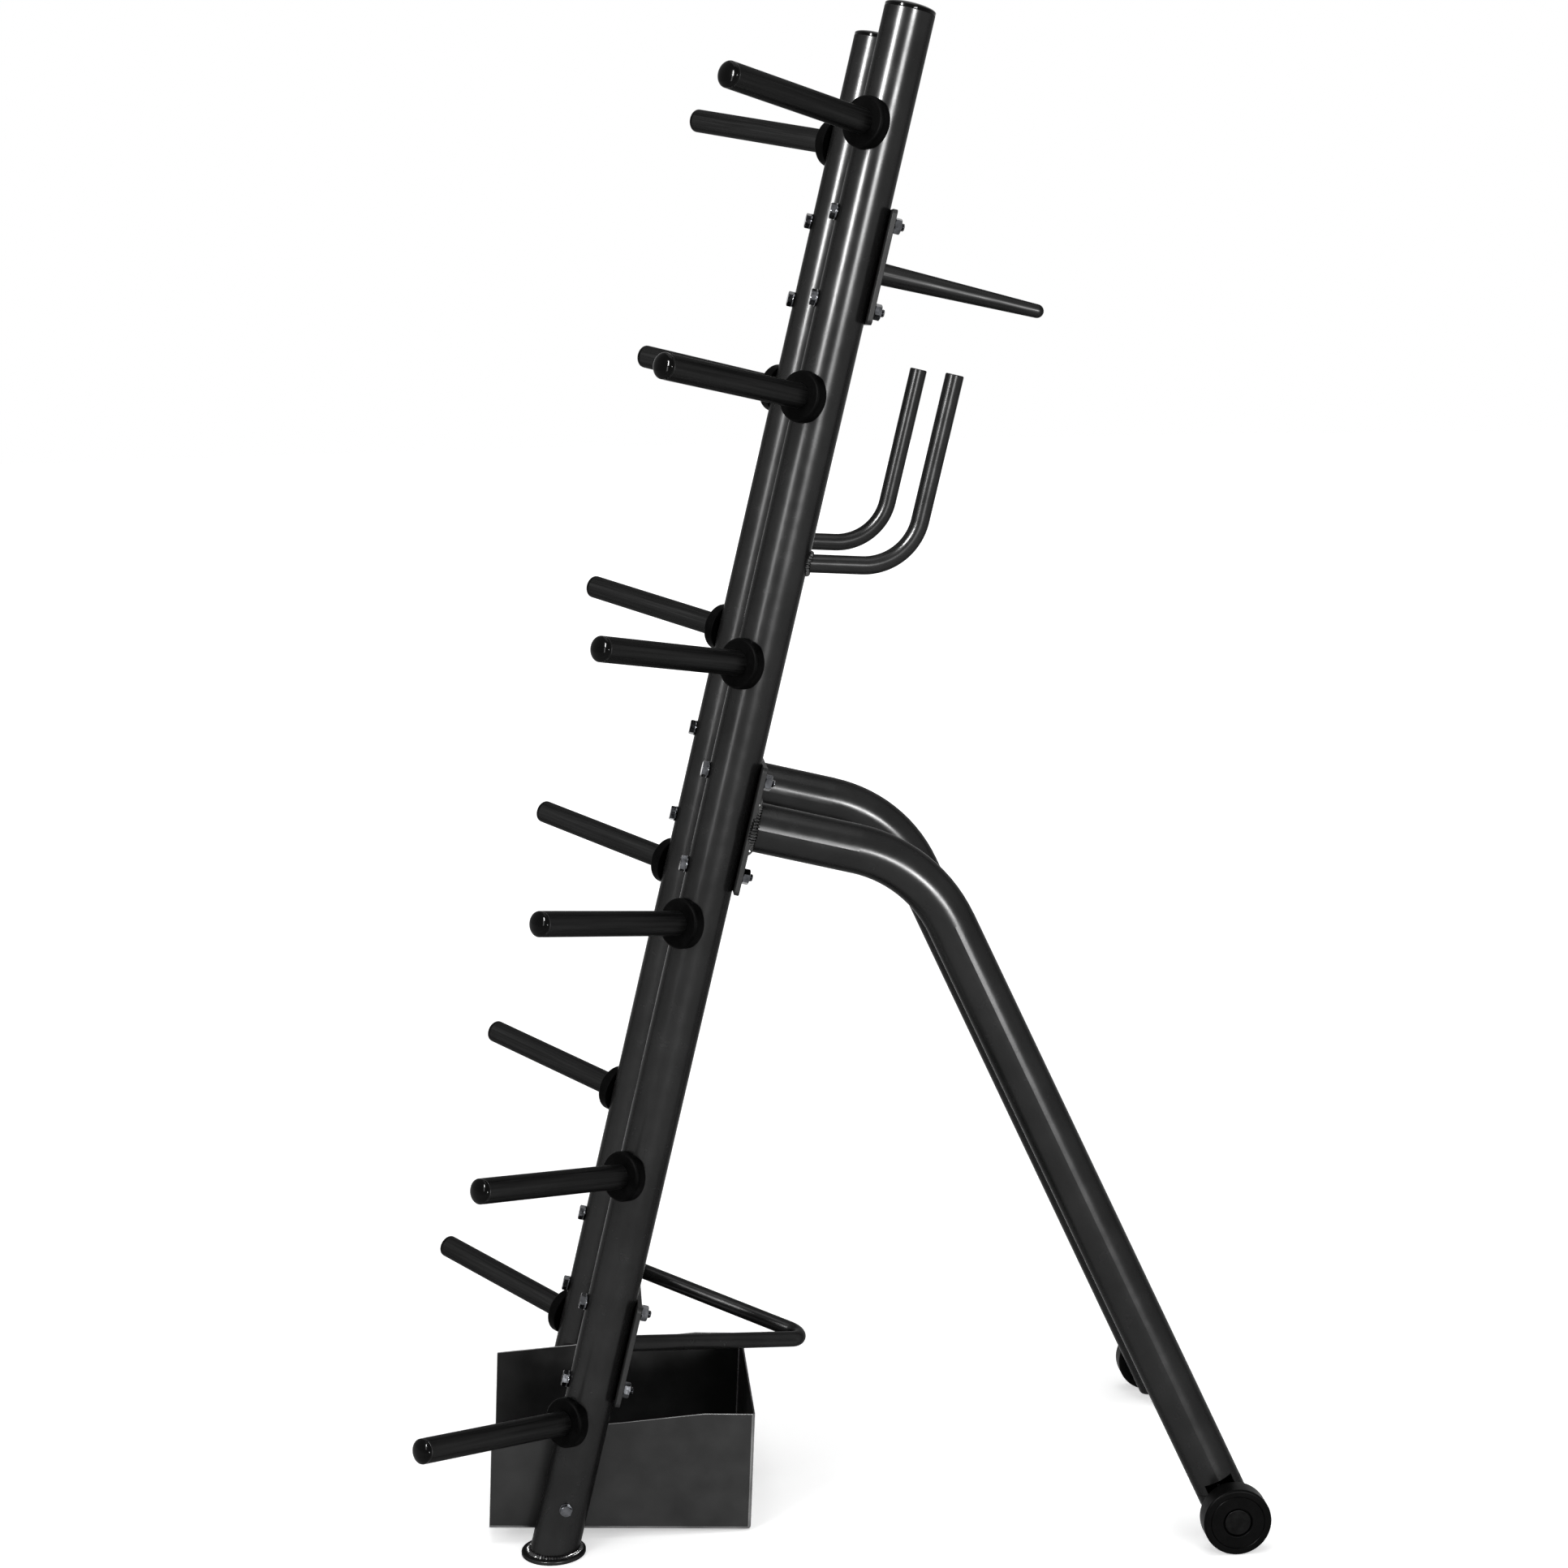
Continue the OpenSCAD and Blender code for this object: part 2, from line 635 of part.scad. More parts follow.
for (row = SIDES) {
    upright(row[1]);
    upright_cap(row[1]);
    foot_flange(row[1]);
    for (number = PEG_NUMBERS) {
        peg(row[1], number);
        peg_cap(row[1], number);
    }
    peg_discs(row[1]);
    j_hook(row[1]);
    rear_leg(row[1]);
    leg_end_block(row[1]);
    wheel(row[1]);
    wheel_axle(row[1]);
}
cross_plate(upper_plate_height, upper_plate_w, upper_bolts);  // upper_cross_plate
cross_plate(leg_plate_height, leg_plate_w, leg_bolts);  // leg_cross_plate
cross_plate(lower_plate_height, lower_plate_w, lower_bolts);  // lower_cross_plate
bar_peg();
v_loop();
tray();
leg_end_studs();
leg_end_nuts();
leg_end_washers();
axle_spacers();
axle_nuts();
plate_bolts();
plate_washers();
plate_nuts();
tray_bolts();
tray_washers();
tray_nuts();
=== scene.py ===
"""Looks of a free-standing plate tree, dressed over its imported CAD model.

The CAD model is the fixed frame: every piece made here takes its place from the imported
record and from the nodes' boxes, and rides on one of the model's bodies.
"""

import json
import logging
import math
from collections.abc import Callable
from dataclasses import dataclass, replace
from enum import Enum
from functools import cache

import bmesh
import bpy
from mathutils import Matrix, Vector


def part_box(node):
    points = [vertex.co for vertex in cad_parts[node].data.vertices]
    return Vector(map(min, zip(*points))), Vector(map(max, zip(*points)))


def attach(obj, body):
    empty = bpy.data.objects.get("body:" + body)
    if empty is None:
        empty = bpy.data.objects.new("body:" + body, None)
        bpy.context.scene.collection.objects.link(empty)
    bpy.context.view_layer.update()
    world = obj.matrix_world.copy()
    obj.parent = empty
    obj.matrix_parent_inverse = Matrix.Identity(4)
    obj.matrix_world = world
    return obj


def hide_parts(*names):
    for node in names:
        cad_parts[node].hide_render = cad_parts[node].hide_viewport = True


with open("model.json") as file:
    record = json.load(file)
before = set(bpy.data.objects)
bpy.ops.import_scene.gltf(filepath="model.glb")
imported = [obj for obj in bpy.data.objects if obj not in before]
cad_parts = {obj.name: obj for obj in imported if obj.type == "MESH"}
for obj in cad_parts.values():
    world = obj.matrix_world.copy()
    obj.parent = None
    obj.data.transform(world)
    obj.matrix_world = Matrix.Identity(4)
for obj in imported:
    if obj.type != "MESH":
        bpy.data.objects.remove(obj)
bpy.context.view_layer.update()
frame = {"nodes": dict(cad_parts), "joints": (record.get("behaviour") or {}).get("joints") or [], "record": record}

LOG = logging.getLogger("plate_tree")
MM = 0.001
ACROSS = Vector((1, 0, 0))
Tree = bpy.types.NodeTree
Socket = bpy.types.NodeSocket
Material = bpy.types.Material
BMesh = bmesh.types.BMesh
Ring = list[bmesh.types.BMVert]
Profile = list[tuple[float, float]]
Parts = list[tuple[BMesh, Matrix]]
Streaks = tuple[float, float, float] | None


class Body(Enum):
    """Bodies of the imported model."""

    STAND = "stand"
    RIGHT_WHEEL = "right_wheel"
    LEFT_WHEEL = "left_wheel"


class Side(Enum):
    """The two sides of the stand, with the sign of their X."""

    RIGHT = 1
    LEFT = -1

    @property
    def word(self) -> str:
        """The side's name, as the CAD nodes start."""
        return self.name.lower()


class Slot(Enum):
    """The record's material slots."""

    FRAME = "frame_paint"
    PEG = "peg_paint"
    TRAY = "tray_paint"
    PLASTIC = "black_plastic"
    RUBBER = "black_rubber"
    WHEEL = "wheel_rubber"
    STEEL = "black_steel"
    ZINC = "zinc"


class Shines(Enum):
    """What a lamp is seen in: everything, only reflections, or only matt surfaces."""

    EVERYWHERE = "everywhere"
    HIGHLIGHTS = "highlights"
    MATT = "matt"


# Colours and shader nodes

# A noise lies mostly between these two values, and each kind of noise has its own detail.
NOISE_LOW = 0.3
NOISE_HIGH = 0.7
MOTTLE_DETAIL = 4.0
GLOSS_DETAIL = 3.0
GRAIN_DETAIL = 2.0
GLOSS_PATCHES_PER_MOTTLE = 3


def linear_rgba(hex_colour: str) -> tuple[float, float, float, float]:
    """Turns an sRGB colour into the one that shaders take.

    Args:
        hex_colour: the colour, such as "#33353a".

    Returns:
        Its linear RGBA.
    """
    parts = [int(hex_colour[start:start + 2], 16) / 255 for start in (1, 3, 5)]
    linear = [part / 12.92 if part <= 0.04045 else ((part + 0.055) / 1.055) ** 2.4 for part in parts]
    return (*linear, 1.0)


def add_node(
    tree: Tree,
    kind: str,
    settings: dict[str | int, object] | None = None,
    links: dict[str | int, Socket] | None = None,
) -> bpy.types.Node:
    """Adds one shader node with its settings and links.

    Args:
        tree: the node tree that takes the node.
        kind: the node's type, without its "ShaderNode" prefix.
        settings: values by input name or number, or by the node's own property name.
        links: output sockets by the input name or number that they feed.

    Returns:
        The new node.
    """
    node = tree.nodes.new(f"ShaderNode{kind}")
    for name, value in (settings or {}).items():
        if isinstance(name, str) and hasattr(node, name) and name not in node.inputs:
            setattr(node, name, value)
        else:
            node.inputs[name].default_value = value
    for name, socket in (links or {}).items():
        tree.links.new(socket, node.inputs[name])
    return node


def new_surface(name: str, values: dict[str, object]) -> tuple[Material, bpy.types.Node]:
    """Makes a material.

    Args:
        name: the material's name.
        values: values of its shader's inputs, by name.

    Returns:
        The material and its shader node.
    """
    material = bpy.data.materials.new(name)
    material.use_nodes = True
    shader = material.node_tree.nodes["Principled BSDF"]
    for socket_name, value in values.items():
        shader.inputs[socket_name].default_value = value
    return material, shader


def noise(tree: Tree, size_mm: float, detail: float, place: Socket) -> Socket:
    """Noise whose largest grains are about size_mm across, read at the given place."""
    settings = {"Scale": 1 / (size_mm * MM), "Detail": detail}
    return add_node(tree, "TexNoise", settings, {"Vector": place}).outputs["Fac"]


def spread(tree: Tree, value: Socket, low: float, high: float) -> Socket:
    """Spreads the middle of a noise over the range from low to high."""
    settings = {"From Min": NOISE_LOW, "From Max": NOISE_HIGH, "To Min": low, "To Max": high}
    return add_node(tree, "MapRange", settings, {"Value": value}).outputs["Result"]


def object_place(tree: Tree) -> Socket:
    """Place on the object in metres, in the model's own frame."""
    return add_node(tree, "TexCoord").outputs["Object"]


def along_axis_place(tree: Tree, axis: Vector, stretch: float) -> Socket:
    """Place on the object, drawn out along an axis so that a noise makes streaks along it.

    Args:
        tree: the node tree that takes the nodes.
        axis: unit vector along the streaks.
        stretch: how many times longer than wide the streaks are.

    Returns:
        The socket with the drawn-out place.
    """
    place = object_place(tree)
    along = add_node(tree, "VectorMath", {"operation": "DOT_PRODUCT", 1: axis}, {0: place})
    pull = {"operation": "SCALE", 0: axis * (1 / stretch - 1)}
    shift = add_node(tree, "VectorMath", pull, {"Scale": along.outputs["Value"]})
    drawn = add_node(tree, "VectorMath", {"operation": "ADD"}, {0: place, 1: shift.outputs[0]})
    return drawn.outputs[0]


@dataclass(frozen=True)
class Finish:
    """A finish: what a surface is made of and how it was finished.

    Sizes are real millimetres. Grain is the fine relief, and mottle the slow change of
    colour and gloss over the surface.
    """

    slot: Slot
    name: str
    colour: str
    second_colour: str
    roughness: float
    metallic: float = 0.0
    specular: float = 0.5
    edge_tint: str = "#ffffff"
    grain_mm: float = 1.5
    grain_depth_mm: float = 0.01
    mottle_mm: float = 60.0
    gloss_change: float = 0.04
    streak: float = 1.0

    def build(self, streaks: Streaks) -> Material:
        """Makes the material.

        Args:
            streaks: direction of the streaks, for a finish that has them.

        Returns:
            A material with its colour, gloss and relief from nodes.
        """
        material, shader = new_surface(self.name, {
            "Metallic": self.metallic,
            "Specular IOR Level": self.specular,
            "Specular Tint": linear_rgba(self.edge_tint),
        })
        tree = material.node_tree
        place = along_axis_place(tree, Vector(streaks), self.streak) if streaks else object_place(tree)
        mottle = noise(tree, self.mottle_mm, MOTTLE_DETAIL, place)
        colours = {"data_type": "RGBA", 6: linear_rgba(self.colour), 7: linear_rgba(self.second_colour)}
        blend = add_node(tree, "Mix", colours, {0: spread(tree, mottle, 0.0, 1.0)})
        patches = noise(tree, self.mottle_mm / GLOSS_PATCHES_PER_MOTTLE, GLOSS_DETAIL, place)
        change = self.gloss_change
        gloss = spread(tree, patches, self.roughness - change, self.roughness + change)
        grain = noise(tree, self.grain_mm, GRAIN_DETAIL, object_place(tree))
        relief = {"Strength": 1.0, "Distance": self.grain_depth_mm * MM}
        bump = add_node(tree, "Bump", relief, {"Height": grain})
        tree.links.new(blend.outputs[2], shader.inputs["Base Color"])
        tree.links.new(gloss, shader.inputs["Roughness"])
        tree.links.new(bump.outputs["Normal"], shader.inputs["Normal"])
        return material


@cache
def material_of(finish: Finish, streaks: Streaks = None) -> Material:
    """The material of a finish, made once for each direction of its streaks."""
    return finish.build(streaks)


# Powder coat with fine metal flake, baked on in a slightly uneven film: the eye gets clear light
# lines on near black tubes whose edges stay dark, and the film's ripple in the dimmer lines.
FRAME_COAT = Finish(Slot.FRAME, "anthracite_flake_powder_coat_gloss", "#262626", "#2c2c2c",
                    roughness=0.25, metallic=0.6, specular=0.05, edge_tint="#383838",
                    gloss_change=0.03, grain_mm=2.6, grain_depth_mm=0.022)
# The same coat lies thicker and duller on the flat plates: an even dark grey, with no lamp in it.
PLATE_COAT = Finish(Slot.FRAME, "anthracite_powder_coat_thick_film", "#292929", "#313131",
                    roughness=0.5, metallic=0.3, specular=0.05, edge_tint="#b0b0b0",
                    gloss_change=0.03, grain_mm=2.6, grain_depth_mm=0.02)
# Over the welds the coat flows smooth and wet, so each ripple catches its own small hard light. Its grey is
# painted lighter than the frame's same coat, a painted sheen that makes those glints brighter.
WELD_COAT = Finish(Slot.FRAME, "anthracite_powder_coat_over_weld", "#383838", "#4c4c4c",
                   roughness=0.13, metallic=0.9, edge_tint="#707070", mottle_mm=9.0,
                   gloss_change=0.03, grain_mm=1.6, grain_depth_mm=0.02)
# The tray's rims and folds get a lighter grey than its sheet: a painted highlight that draws light lines along
# them.
RIM_HIGHLIGHT_COAT = Finish(Slot.TRAY, "dark_powder_coat_rubbed_over_edge", "#5c5c5c", "#747474",
                  roughness=0.25, metallic=0.9, edge_tint="#a0a0a0", mottle_mm=40.0,
                  gloss_change=0.05, grain_mm=2.0)
# The pegs' coat is satin and rubbed along its length by plates: faint streaks run along it.
PEG_COAT = Finish(Slot.PEG, "black_powder_coat_rubbed_lengthwise", "#191919", "#262626",
                  roughness=0.38, metallic=0.85, edge_tint="#303030", mottle_mm=4.0,
                  gloss_change=0.1, streak=50.0, grain_mm=1.2)
# The bar peg is rubbed the same way, in the frame's own paint.
BAR_PEG_COAT = replace(PEG_COAT, slot=Slot.FRAME)
# The same coat, sprayed thinner over the tray's flat sheet, is satin and even.
TRAY_COAT = Finish(Slot.TRAY, "dark_powder_coat_satin_sheet", "#252525", "#2c2c2c",
                   roughness=0.34, metallic=0.8, edge_tint="#606060", mottle_mm=110.0,
                   gloss_change=0.05, grain_mm=2.0, grain_depth_mm=0.012)
# Injection moulded caps come out of a polished mould: near black with one small hard light.
CAP_PLASTIC = Finish(Slot.PLASTIC, "black_moulded_plastic_polished", "#030303", "#060606",
                     roughness=0.1, specular=0.05, mottle_mm=25.0, grain_mm=0.8, grain_depth_mm=0.002)
# Moulded rubber discs: matt, a little dusty, with the mould's fine pitting.
DISC_RUBBER = Finish(Slot.RUBBER, "black_moulded_rubber_matt", "#020202", "#080808",
                     roughness=0.5, specular=0.01, mottle_mm=14.0, grain_mm=0.7, grain_depth_mm=0.03)
# The wheels' rubber is worn smoother by rolling: black with a faint sheen.
WHEEL_RUBBER = Finish(Slot.WHEEL, "black_wheel_rubber_rolled_smooth", "#040404", "#0a0a0a",
                      roughness=0.4, specular=0.02, mottle_mm=20.0, grain_mm=0.9, grain_depth_mm=0.012)
# Black oxide on the turned axle parts: a deep black with a soft dark sheen.
BLACK_STEEL = Finish(Slot.STEEL, "black_oxide_steel_turned", "#0a0a0a", "#121212",
                     roughness=0.36, metallic=0.85, edge_tint="#303030", mottle_mm=8.0,
                     grain_mm=0.4, grain_depth_mm=0.004)
# Bright zinc plate over pressed steel: cool grey with cloudy patches and small hard glints.
ZINC_PLATE = Finish(Slot.ZINC, "bright_zinc_plated_pressed_steel", "#343537", "#58595c",
                    roughness=0.16, metallic=1.0, mottle_mm=9.0, gloss_change=0.05,
                    grain_mm=0.8, grain_depth_mm=0.004)


def finish_cad_nodes() -> None:
    """Gives the CAD nodes that stay in view the finish of what they are made of."""
    for name, node in frame["nodes"].items():
        material = material_of(BLACK_STEEL if name == "axle_spacers" else FRAME_COAT)
        for slot in node.material_slots:
            slot.material = material


# The studio: floor, background, lights and camera


@dataclass(frozen=True)
class SoftBox:
    """A soft light, aimed at a point."""

    name: str
    place: tuple[float, float, float]
    aim: tuple[float, float, float]
    width: float
    height: float
    watts: float
    shines: Shines = Shines.EVERYWHERE

    def build(self) -> None:
        """Makes the lamp with its height upright."""
        lamp = bpy.data.lights.new(self.name, "AREA")
        lamp.shape = "RECTANGLE"
        lamp.size = self.width
        lamp.size_y = self.height
        lamp.energy = self.watts
        lamp_object = bpy.data.objects.new(self.name, lamp)
        lamp_object.visible_diffuse = self.shines is not Shines.HIGHLIGHTS
        lamp_object.visible_glossy = self.shines is not Shines.MATT
        bpy.context.collection.objects.link(lamp_object)
        line = Vector(self.aim) - Vector(self.place)
        turn = line.to_track_quat("-Z", "Y").to_matrix().to_4x4()
        lamp_object.matrix_world = Matrix.Translation(self.place) @ turn


# The narrow strip on the left draws the sharp light line on every tube. The far window on the right
# draws the broader one beside it and the short bright one on the legs' bends. These are seen in
# the coat only, so that the panels alone set how light a matt colour looks.
SOFT_BOXES = (
    SoftBox("left_strip", (2.36, -1.98, 2.75), (0.17, 0.0, 1.6), 0.4, 1.1, 440.0, Shines.HIGHLIGHTS),
    SoftBox("left_strip_foot", (2.3, -2.17, 1.5), (0.17, 0.0, 1.3), 0.4, 1.0, 26.0, Shines.HIGHLIGHTS),
    SoftBox("far_window", (24.0, 7.4, 3.2), (0.17, 0.09, 0.9), 6.2, 2.4, 10500.0, Shines.HIGHLIGHTS),
    SoftBox("left_panel", (2.4, -2.5, 1.7), (0.0, 0.0, 0.9), 1.2, 1.4, 42.0, Shines.MATT),
    SoftBox("right_panel", (3.2, 1.6, 2.2), (0.0, 0.2, 0.8), 1.6, 1.2, 30.0, Shines.MATT),
    SoftBox("top_panel", (0.4, 0.0, 3.6), (0.0, 0.0, 0.5), 2.0, 2.0, 40.0),
)


@dataclass(frozen=True)
class Studio:
    """Plain pale floor, white background, soft lights and the photograph's camera."""

    floor_radius: float = 30.0
    floor_sides: int = 96
    floor_colour: str = "#f4f4f4"
    floor_roughness: float = 0.9
    white: str = "#ffffff"
    ambient: float = 0.4
    near_glow: float = 0.5
    far_glow: float = 1.0
    near_distance: float = 1.2
    far_distance: float = 5.0
    camera_place: tuple[float, float, float] = (3.5028, -0.2910, 1.5139)
    heading: float = 85.93
    pitch: float = -9.463
    roll: float = -1.257
    lens_mm: float = 64.98
    sensor_mm: float = 36.0

    def build(self) -> None:
        """Makes floor, background, lights and camera."""
        self.make_floor()
        self.make_background()
        for box in SOFT_BOXES:
            box.build()
        self.make_camera()

    def seen_directly(self, tree: Tree) -> Socket:
        """Tells the rays that see a surface from those that light things.

        Args:
            tree: the node tree that takes the nodes.

        Returns:
            A socket with 1 for rays from the camera and for mirror and glass rays, else 0.
        """
        path = add_node(tree, "LightPath")
        glossy = {0: path.outputs["Is Camera Ray"], 1: path.outputs["Is Glossy Ray"]}
        either = add_node(tree, "Math", {"operation": "MAXIMUM"}, glossy)
        clear = {0: either.outputs[0], 1: path.outputs["Is Transmission Ray"]}
        return add_node(tree, "Math", {"operation": "MAXIMUM"}, clear).outputs[0]

    def make_floor(self) -> None:
        """Makes the pale floor, which glows a little for the camera and keeps the shadow."""
        mesh = bpy.data.meshes.new("floor")
        shape = bmesh.new()
        bmesh.ops.create_circle(shape, cap_ends=True, segments=self.floor_sides, radius=self.floor_radius)
        shape.to_mesh(mesh)
        shape.free()
        floor = bpy.data.objects.new("floor", mesh)
        bpy.context.collection.objects.link(floor)
        # Matt paper, so pale that it runs into the background and leaves only the soft shadow.
        material, shader = new_surface("pale_matt_floor_paper", {
            "Base Color": linear_rgba(self.floor_colour),
            "Roughness": self.floor_roughness,
            "Specular IOR Level": 0.0,
            "Emission Color": linear_rgba(self.white),
        })
        tree = material.node_tree
        distance = add_node(tree, "VectorMath", {"operation": "LENGTH"}, {0: object_place(tree)})
        ramp = {"From Min": self.near_distance, "From Max": self.far_distance,
                "To Min": self.near_glow, "To Max": self.far_glow}
        glow = add_node(tree, "MapRange", ramp, {"Value": distance.outputs["Value"]})
        seen = {0: self.seen_directly(tree), 1: glow.outputs["Result"]}
        strength = add_node(tree, "Math", {"operation": "MULTIPLY"}, seen)
        tree.links.new(strength.outputs[0], shader.inputs["Emission Strength"])
        mesh.materials.append(material)

    def make_background(self) -> None:
        """Makes the world: white where it is seen, and a soft even light on things."""
        world = bpy.data.worlds.new("studio")
        bpy.context.scene.world = world
        world.use_nodes = True
        tree = world.node_tree
        background = tree.nodes["Background"]
        background.inputs["Color"].default_value = linear_rgba(self.white)
        settings = {"To Min": self.ambient, "To Max": 1.0}
        strength = add_node(tree, "MapRange", settings, {"Value": self.seen_directly(tree)})
        tree.links.new(strength.outputs["Result"], background.inputs["Strength"])

    def make_camera(self) -> None:
        """Makes the camera at the photograph's place, turn and lens."""
        camera = bpy.data.cameras.new("camera")
        camera.lens = self.lens_mm
        camera.sensor_width = self.sensor_mm
        camera_object = bpy.data.objects.new("camera", camera)
        bpy.context.collection.objects.link(camera_object)
        aim = turned(self.heading, "Z") @ turned(90 + self.pitch, "X") @ turned(self.roll, "Z")
        camera_object.matrix_world = Matrix.Translation(self.camera_place) @ aim
        bpy.context.scene.camera = camera_object
        bpy.context.scene.view_settings.view_transform = "Standard"


# Shapes: every length given to them is in millimetres

ROUND_SIDES = 96
LARGE_ROUND_SIDES = 144
ROD_SIDES = 40
HEX_SIDES = 6
HEX_STEPS = 48
ARC_STEPS = 6
DOME_STEPS = 14
DEGREES_PER_BEND_STEP = 2.5


def shifted(x: float, y: float, z: float) -> Matrix:
    """Translation in millimetres."""
    return Matrix.Translation((x * MM, y * MM, z * MM))


def raised(z: float) -> Matrix:
    """Translation along Z in millimetres."""
    return shifted(0, 0, z)


def turned(degrees: float, axis: str) -> Matrix:
    """Rotation about an axis."""
    return Matrix.Rotation(math.radians(degrees), 4, axis)


def basis(origin: Vector, up: Vector, across: Vector) -> Matrix:
    """Makes a frame of its origin and directions.

    Args:
        origin: its origin, in metres.
        up: unit vector along its Z.
        across: direction that its X comes as near to as it can.

    Returns:
        The frame.
    """
    x_axis = (across - up * across.dot(up)).normalized()
    turn = Matrix((x_axis, up.cross(x_axis), up)).transposed().to_4x4()
    return Matrix.Translation(origin) @ turn


def join_rings(shape: BMesh, rings: list[Ring], closed: bool = False, capped: bool = False) -> None:
    """Joins rings of points with faces, each to the next; a ring of one point makes a fan.

    Args:
        shape: the shape that takes the faces.
        rings: the rings, in order.
        closed: joins the last ring to the first.
        capped: closes the first and the last ring with a flat face.
    """
    for first, second in zip(rings, rings[1:] + rings[:1] if closed else rings[1:]):
        count = max(len(first), len(second))
        for step in range(count):
            following = (step + 1) % count
            corners = [first[step % len(first)], first[following % len(first)],
                       second[following % len(second)], second[step % len(second)]]
            shape.faces.new(list(dict.fromkeys(corners)))
    if capped:
        shape.faces.new(rings[0])
        shape.faces.new(rings[-1])


def turn_steps(sides: int) -> list[float]:
    """The angles of a ring's points."""
    return [math.tau * step / sides for step in range(sides)]


def ring(shape: BMesh, points: Profile) -> Ring:
    """Adds a ring of points round Z.

    Args:
        shape: the shape that takes the points.
        points: their (radius, height), at equal steps of the turn.

    Returns:
        The ring's points, in order.
    """
    made = []
    for angle, (radius, height) in zip(turn_steps(len(points)), points):
        place = Vector((radius * math.cos(angle), radius * math.sin(angle), height))
        made.append(shape.verts.new(place * MM))
    return made


def lathe(profile: Profile, closed: bool = False, sides: int = ROUND_SIDES) -> BMesh:
    """Turns a profile round Z.

    Args:
        profile: (radius, height) points; a radius of 0 is a point on the axis.
        closed: joins the profile's end to its start, for a ring or tube.
        sides: points round the axis.

    Returns:
        The turned shape.
    """
    shape = bmesh.new()
    rings = [ring(shape, [point] * (sides if point[0] else 1)) for point in profile]
    join_rings(shape, rings, closed)
    return shape


def rounded(corner: tuple[float, float], radius: float, start: float, end: float) -> Profile:
    """Points of a rounded corner in a profile.

    Args:
        corner: centre of the rounding, as (radius, height).
        radius: radius of the rounding.
        start: first angle in degrees, 0 pointing outwards and 90 upwards.
        end: last angle in degrees.

    Returns:
        The points along the arc.
    """
    across, height = corner
    angles = [math.radians(start + (end - start) * step / ARC_STEPS) for step in range(ARC_STEPS + 1)]
    return [(across + radius * math.cos(angle), height + radius * math.sin(angle)) for angle in angles]


def eased_rim(radius: float, thickness: float, edge: float) -> Profile:
    """The rim of a disc that stands on Z 0, from bottom to top, with both its edges eased."""
    centre_r = radius - edge
    return rounded((centre_r, edge), edge, -90, 0) + rounded((centre_r, thickness - edge), edge, 0, 90)


def dome(outer: float, rim_h: float, dome_h: float) -> Profile:
    """A cap's rim and rounded top.

    Args:
        outer: its radius.
        rim_h: height of the straight rim.
        dome_h: height of the dome on it.

    Returns:
        The profile, up to the axis.
    """
    eased = 0.5
    angles = [math.pi / 2 * step / DOME_STEPS for step in range(DOME_STEPS)]
    top = [(outer * math.cos(angle), rim_h + dome_h * math.sin(angle)) for angle in angles]
    return [(outer - eased, 0), (outer, eased)] + top + [(0, rim_h + dome_h)]


def nearest_turn(section: Ring, start: bmesh.types.BMVert) -> Ring:
    """The same ring of points, started at the one nearest to a given point."""
    nearest = min(range(len(section)), key=lambda index: (section[index].co - start.co).length)
    return section[nearest:] + section[:nearest]


def sweep(path: list[Vector], radius_at: Callable[[float], float], sides: int,
          closed: bool = False) -> BMesh:
    """Carries a round section along a path.

    Args:
        path: points in millimetres.
        radius_at: the section's radius for each distance along the path.
        sides: points round the section.
        closed: joins the path's end to its start.

    Returns:
        The swept shape, with flat ends where the path is open.
    """
    shape = bmesh.new()
    count = len(path)
    rings = []
    distance = 0.0
    side = Vector((0.0, 0.0, 0.0))
    for index, point in enumerate(path):
        before = path[index - 1] if index or closed else point
        after = path[(index + 1) % count] if index + 1 < count or closed else point
        tangent = (after - before).normalized()
        if side.length == 0:
            side = tangent.orthogonal()
        side = (side - tangent * side.dot(tangent)).normalized()
        other = tangent.cross(side)
        distance += (point - path[index - 1]).length if index else 0.0
        section = []
        for angle in turn_steps(sides):
            out = (side * math.cos(angle) + other * math.sin(angle)) * radius_at(distance)
            section.append(shape.verts.new((point + out) * MM))
        rings.append(section)
    if closed:
        rings.append(nearest_turn(rings[0], rings[-1][0]))
    join_rings(shape, rings, capped=not closed)
    return shape


def bent_path(corners: list[Vector], bend_r: float) -> list[Vector]:
    """Points along straight runs joined by round bends.

    Args:
        corners: the ends and the sharp corners of the runs, in millimetres.
        bend_r: radius of every bend.

    Returns:
        The points, close together in the bends.
    """
    path = [corners[0]]
    for before, corner, after in zip(corners, corners[1:], corners[2:]):
        back = (before - corner).normalized()
        onward = (after - corner).normalized()
        half = back.angle(onward) / 2
        centre = corner + (back + onward).normalized() * (bend_r / math.sin(half))
        start = corner + back * (bend_r / math.tan(half)) - centre
        end = corner + onward * (bend_r / math.tan(half)) - centre
        axis = start.cross(end).normalized()
        bend = math.pi - 2 * half
        steps = math.ceil(math.degrees(bend) / DEGREES_PER_BEND_STEP)
        for step in range(steps + 1):
            path.append(centre + Matrix.Rotation(bend * step / steps, 3, axis) @ start)
    path.append(corners[-1])
    return path


def rod(corners: list[Vector], bend_r: float, rod_r: float, eased: float) -> BMesh:
    """A bent round rod whose last end is eased.

    Args:
        corners: the ends and sharp corners of its centre line.
        bend_r: radius of its bends.
        rod_r: the rod's radius.
        eased: how far its last end's edge is taken off.

    Returns:
        The rod.
    """
    path = bent_path(corners, bend_r)
    end = path.pop()
    along = (end - path[-1]).normalized()
    path += [end - along * eased, end]
    length = sum((second - first).length for first, second in zip(path, path[1:]))
    return sweep(path, lambda distance: rod_r - max(0.0, distance - length + eased), ROD_SIDES)


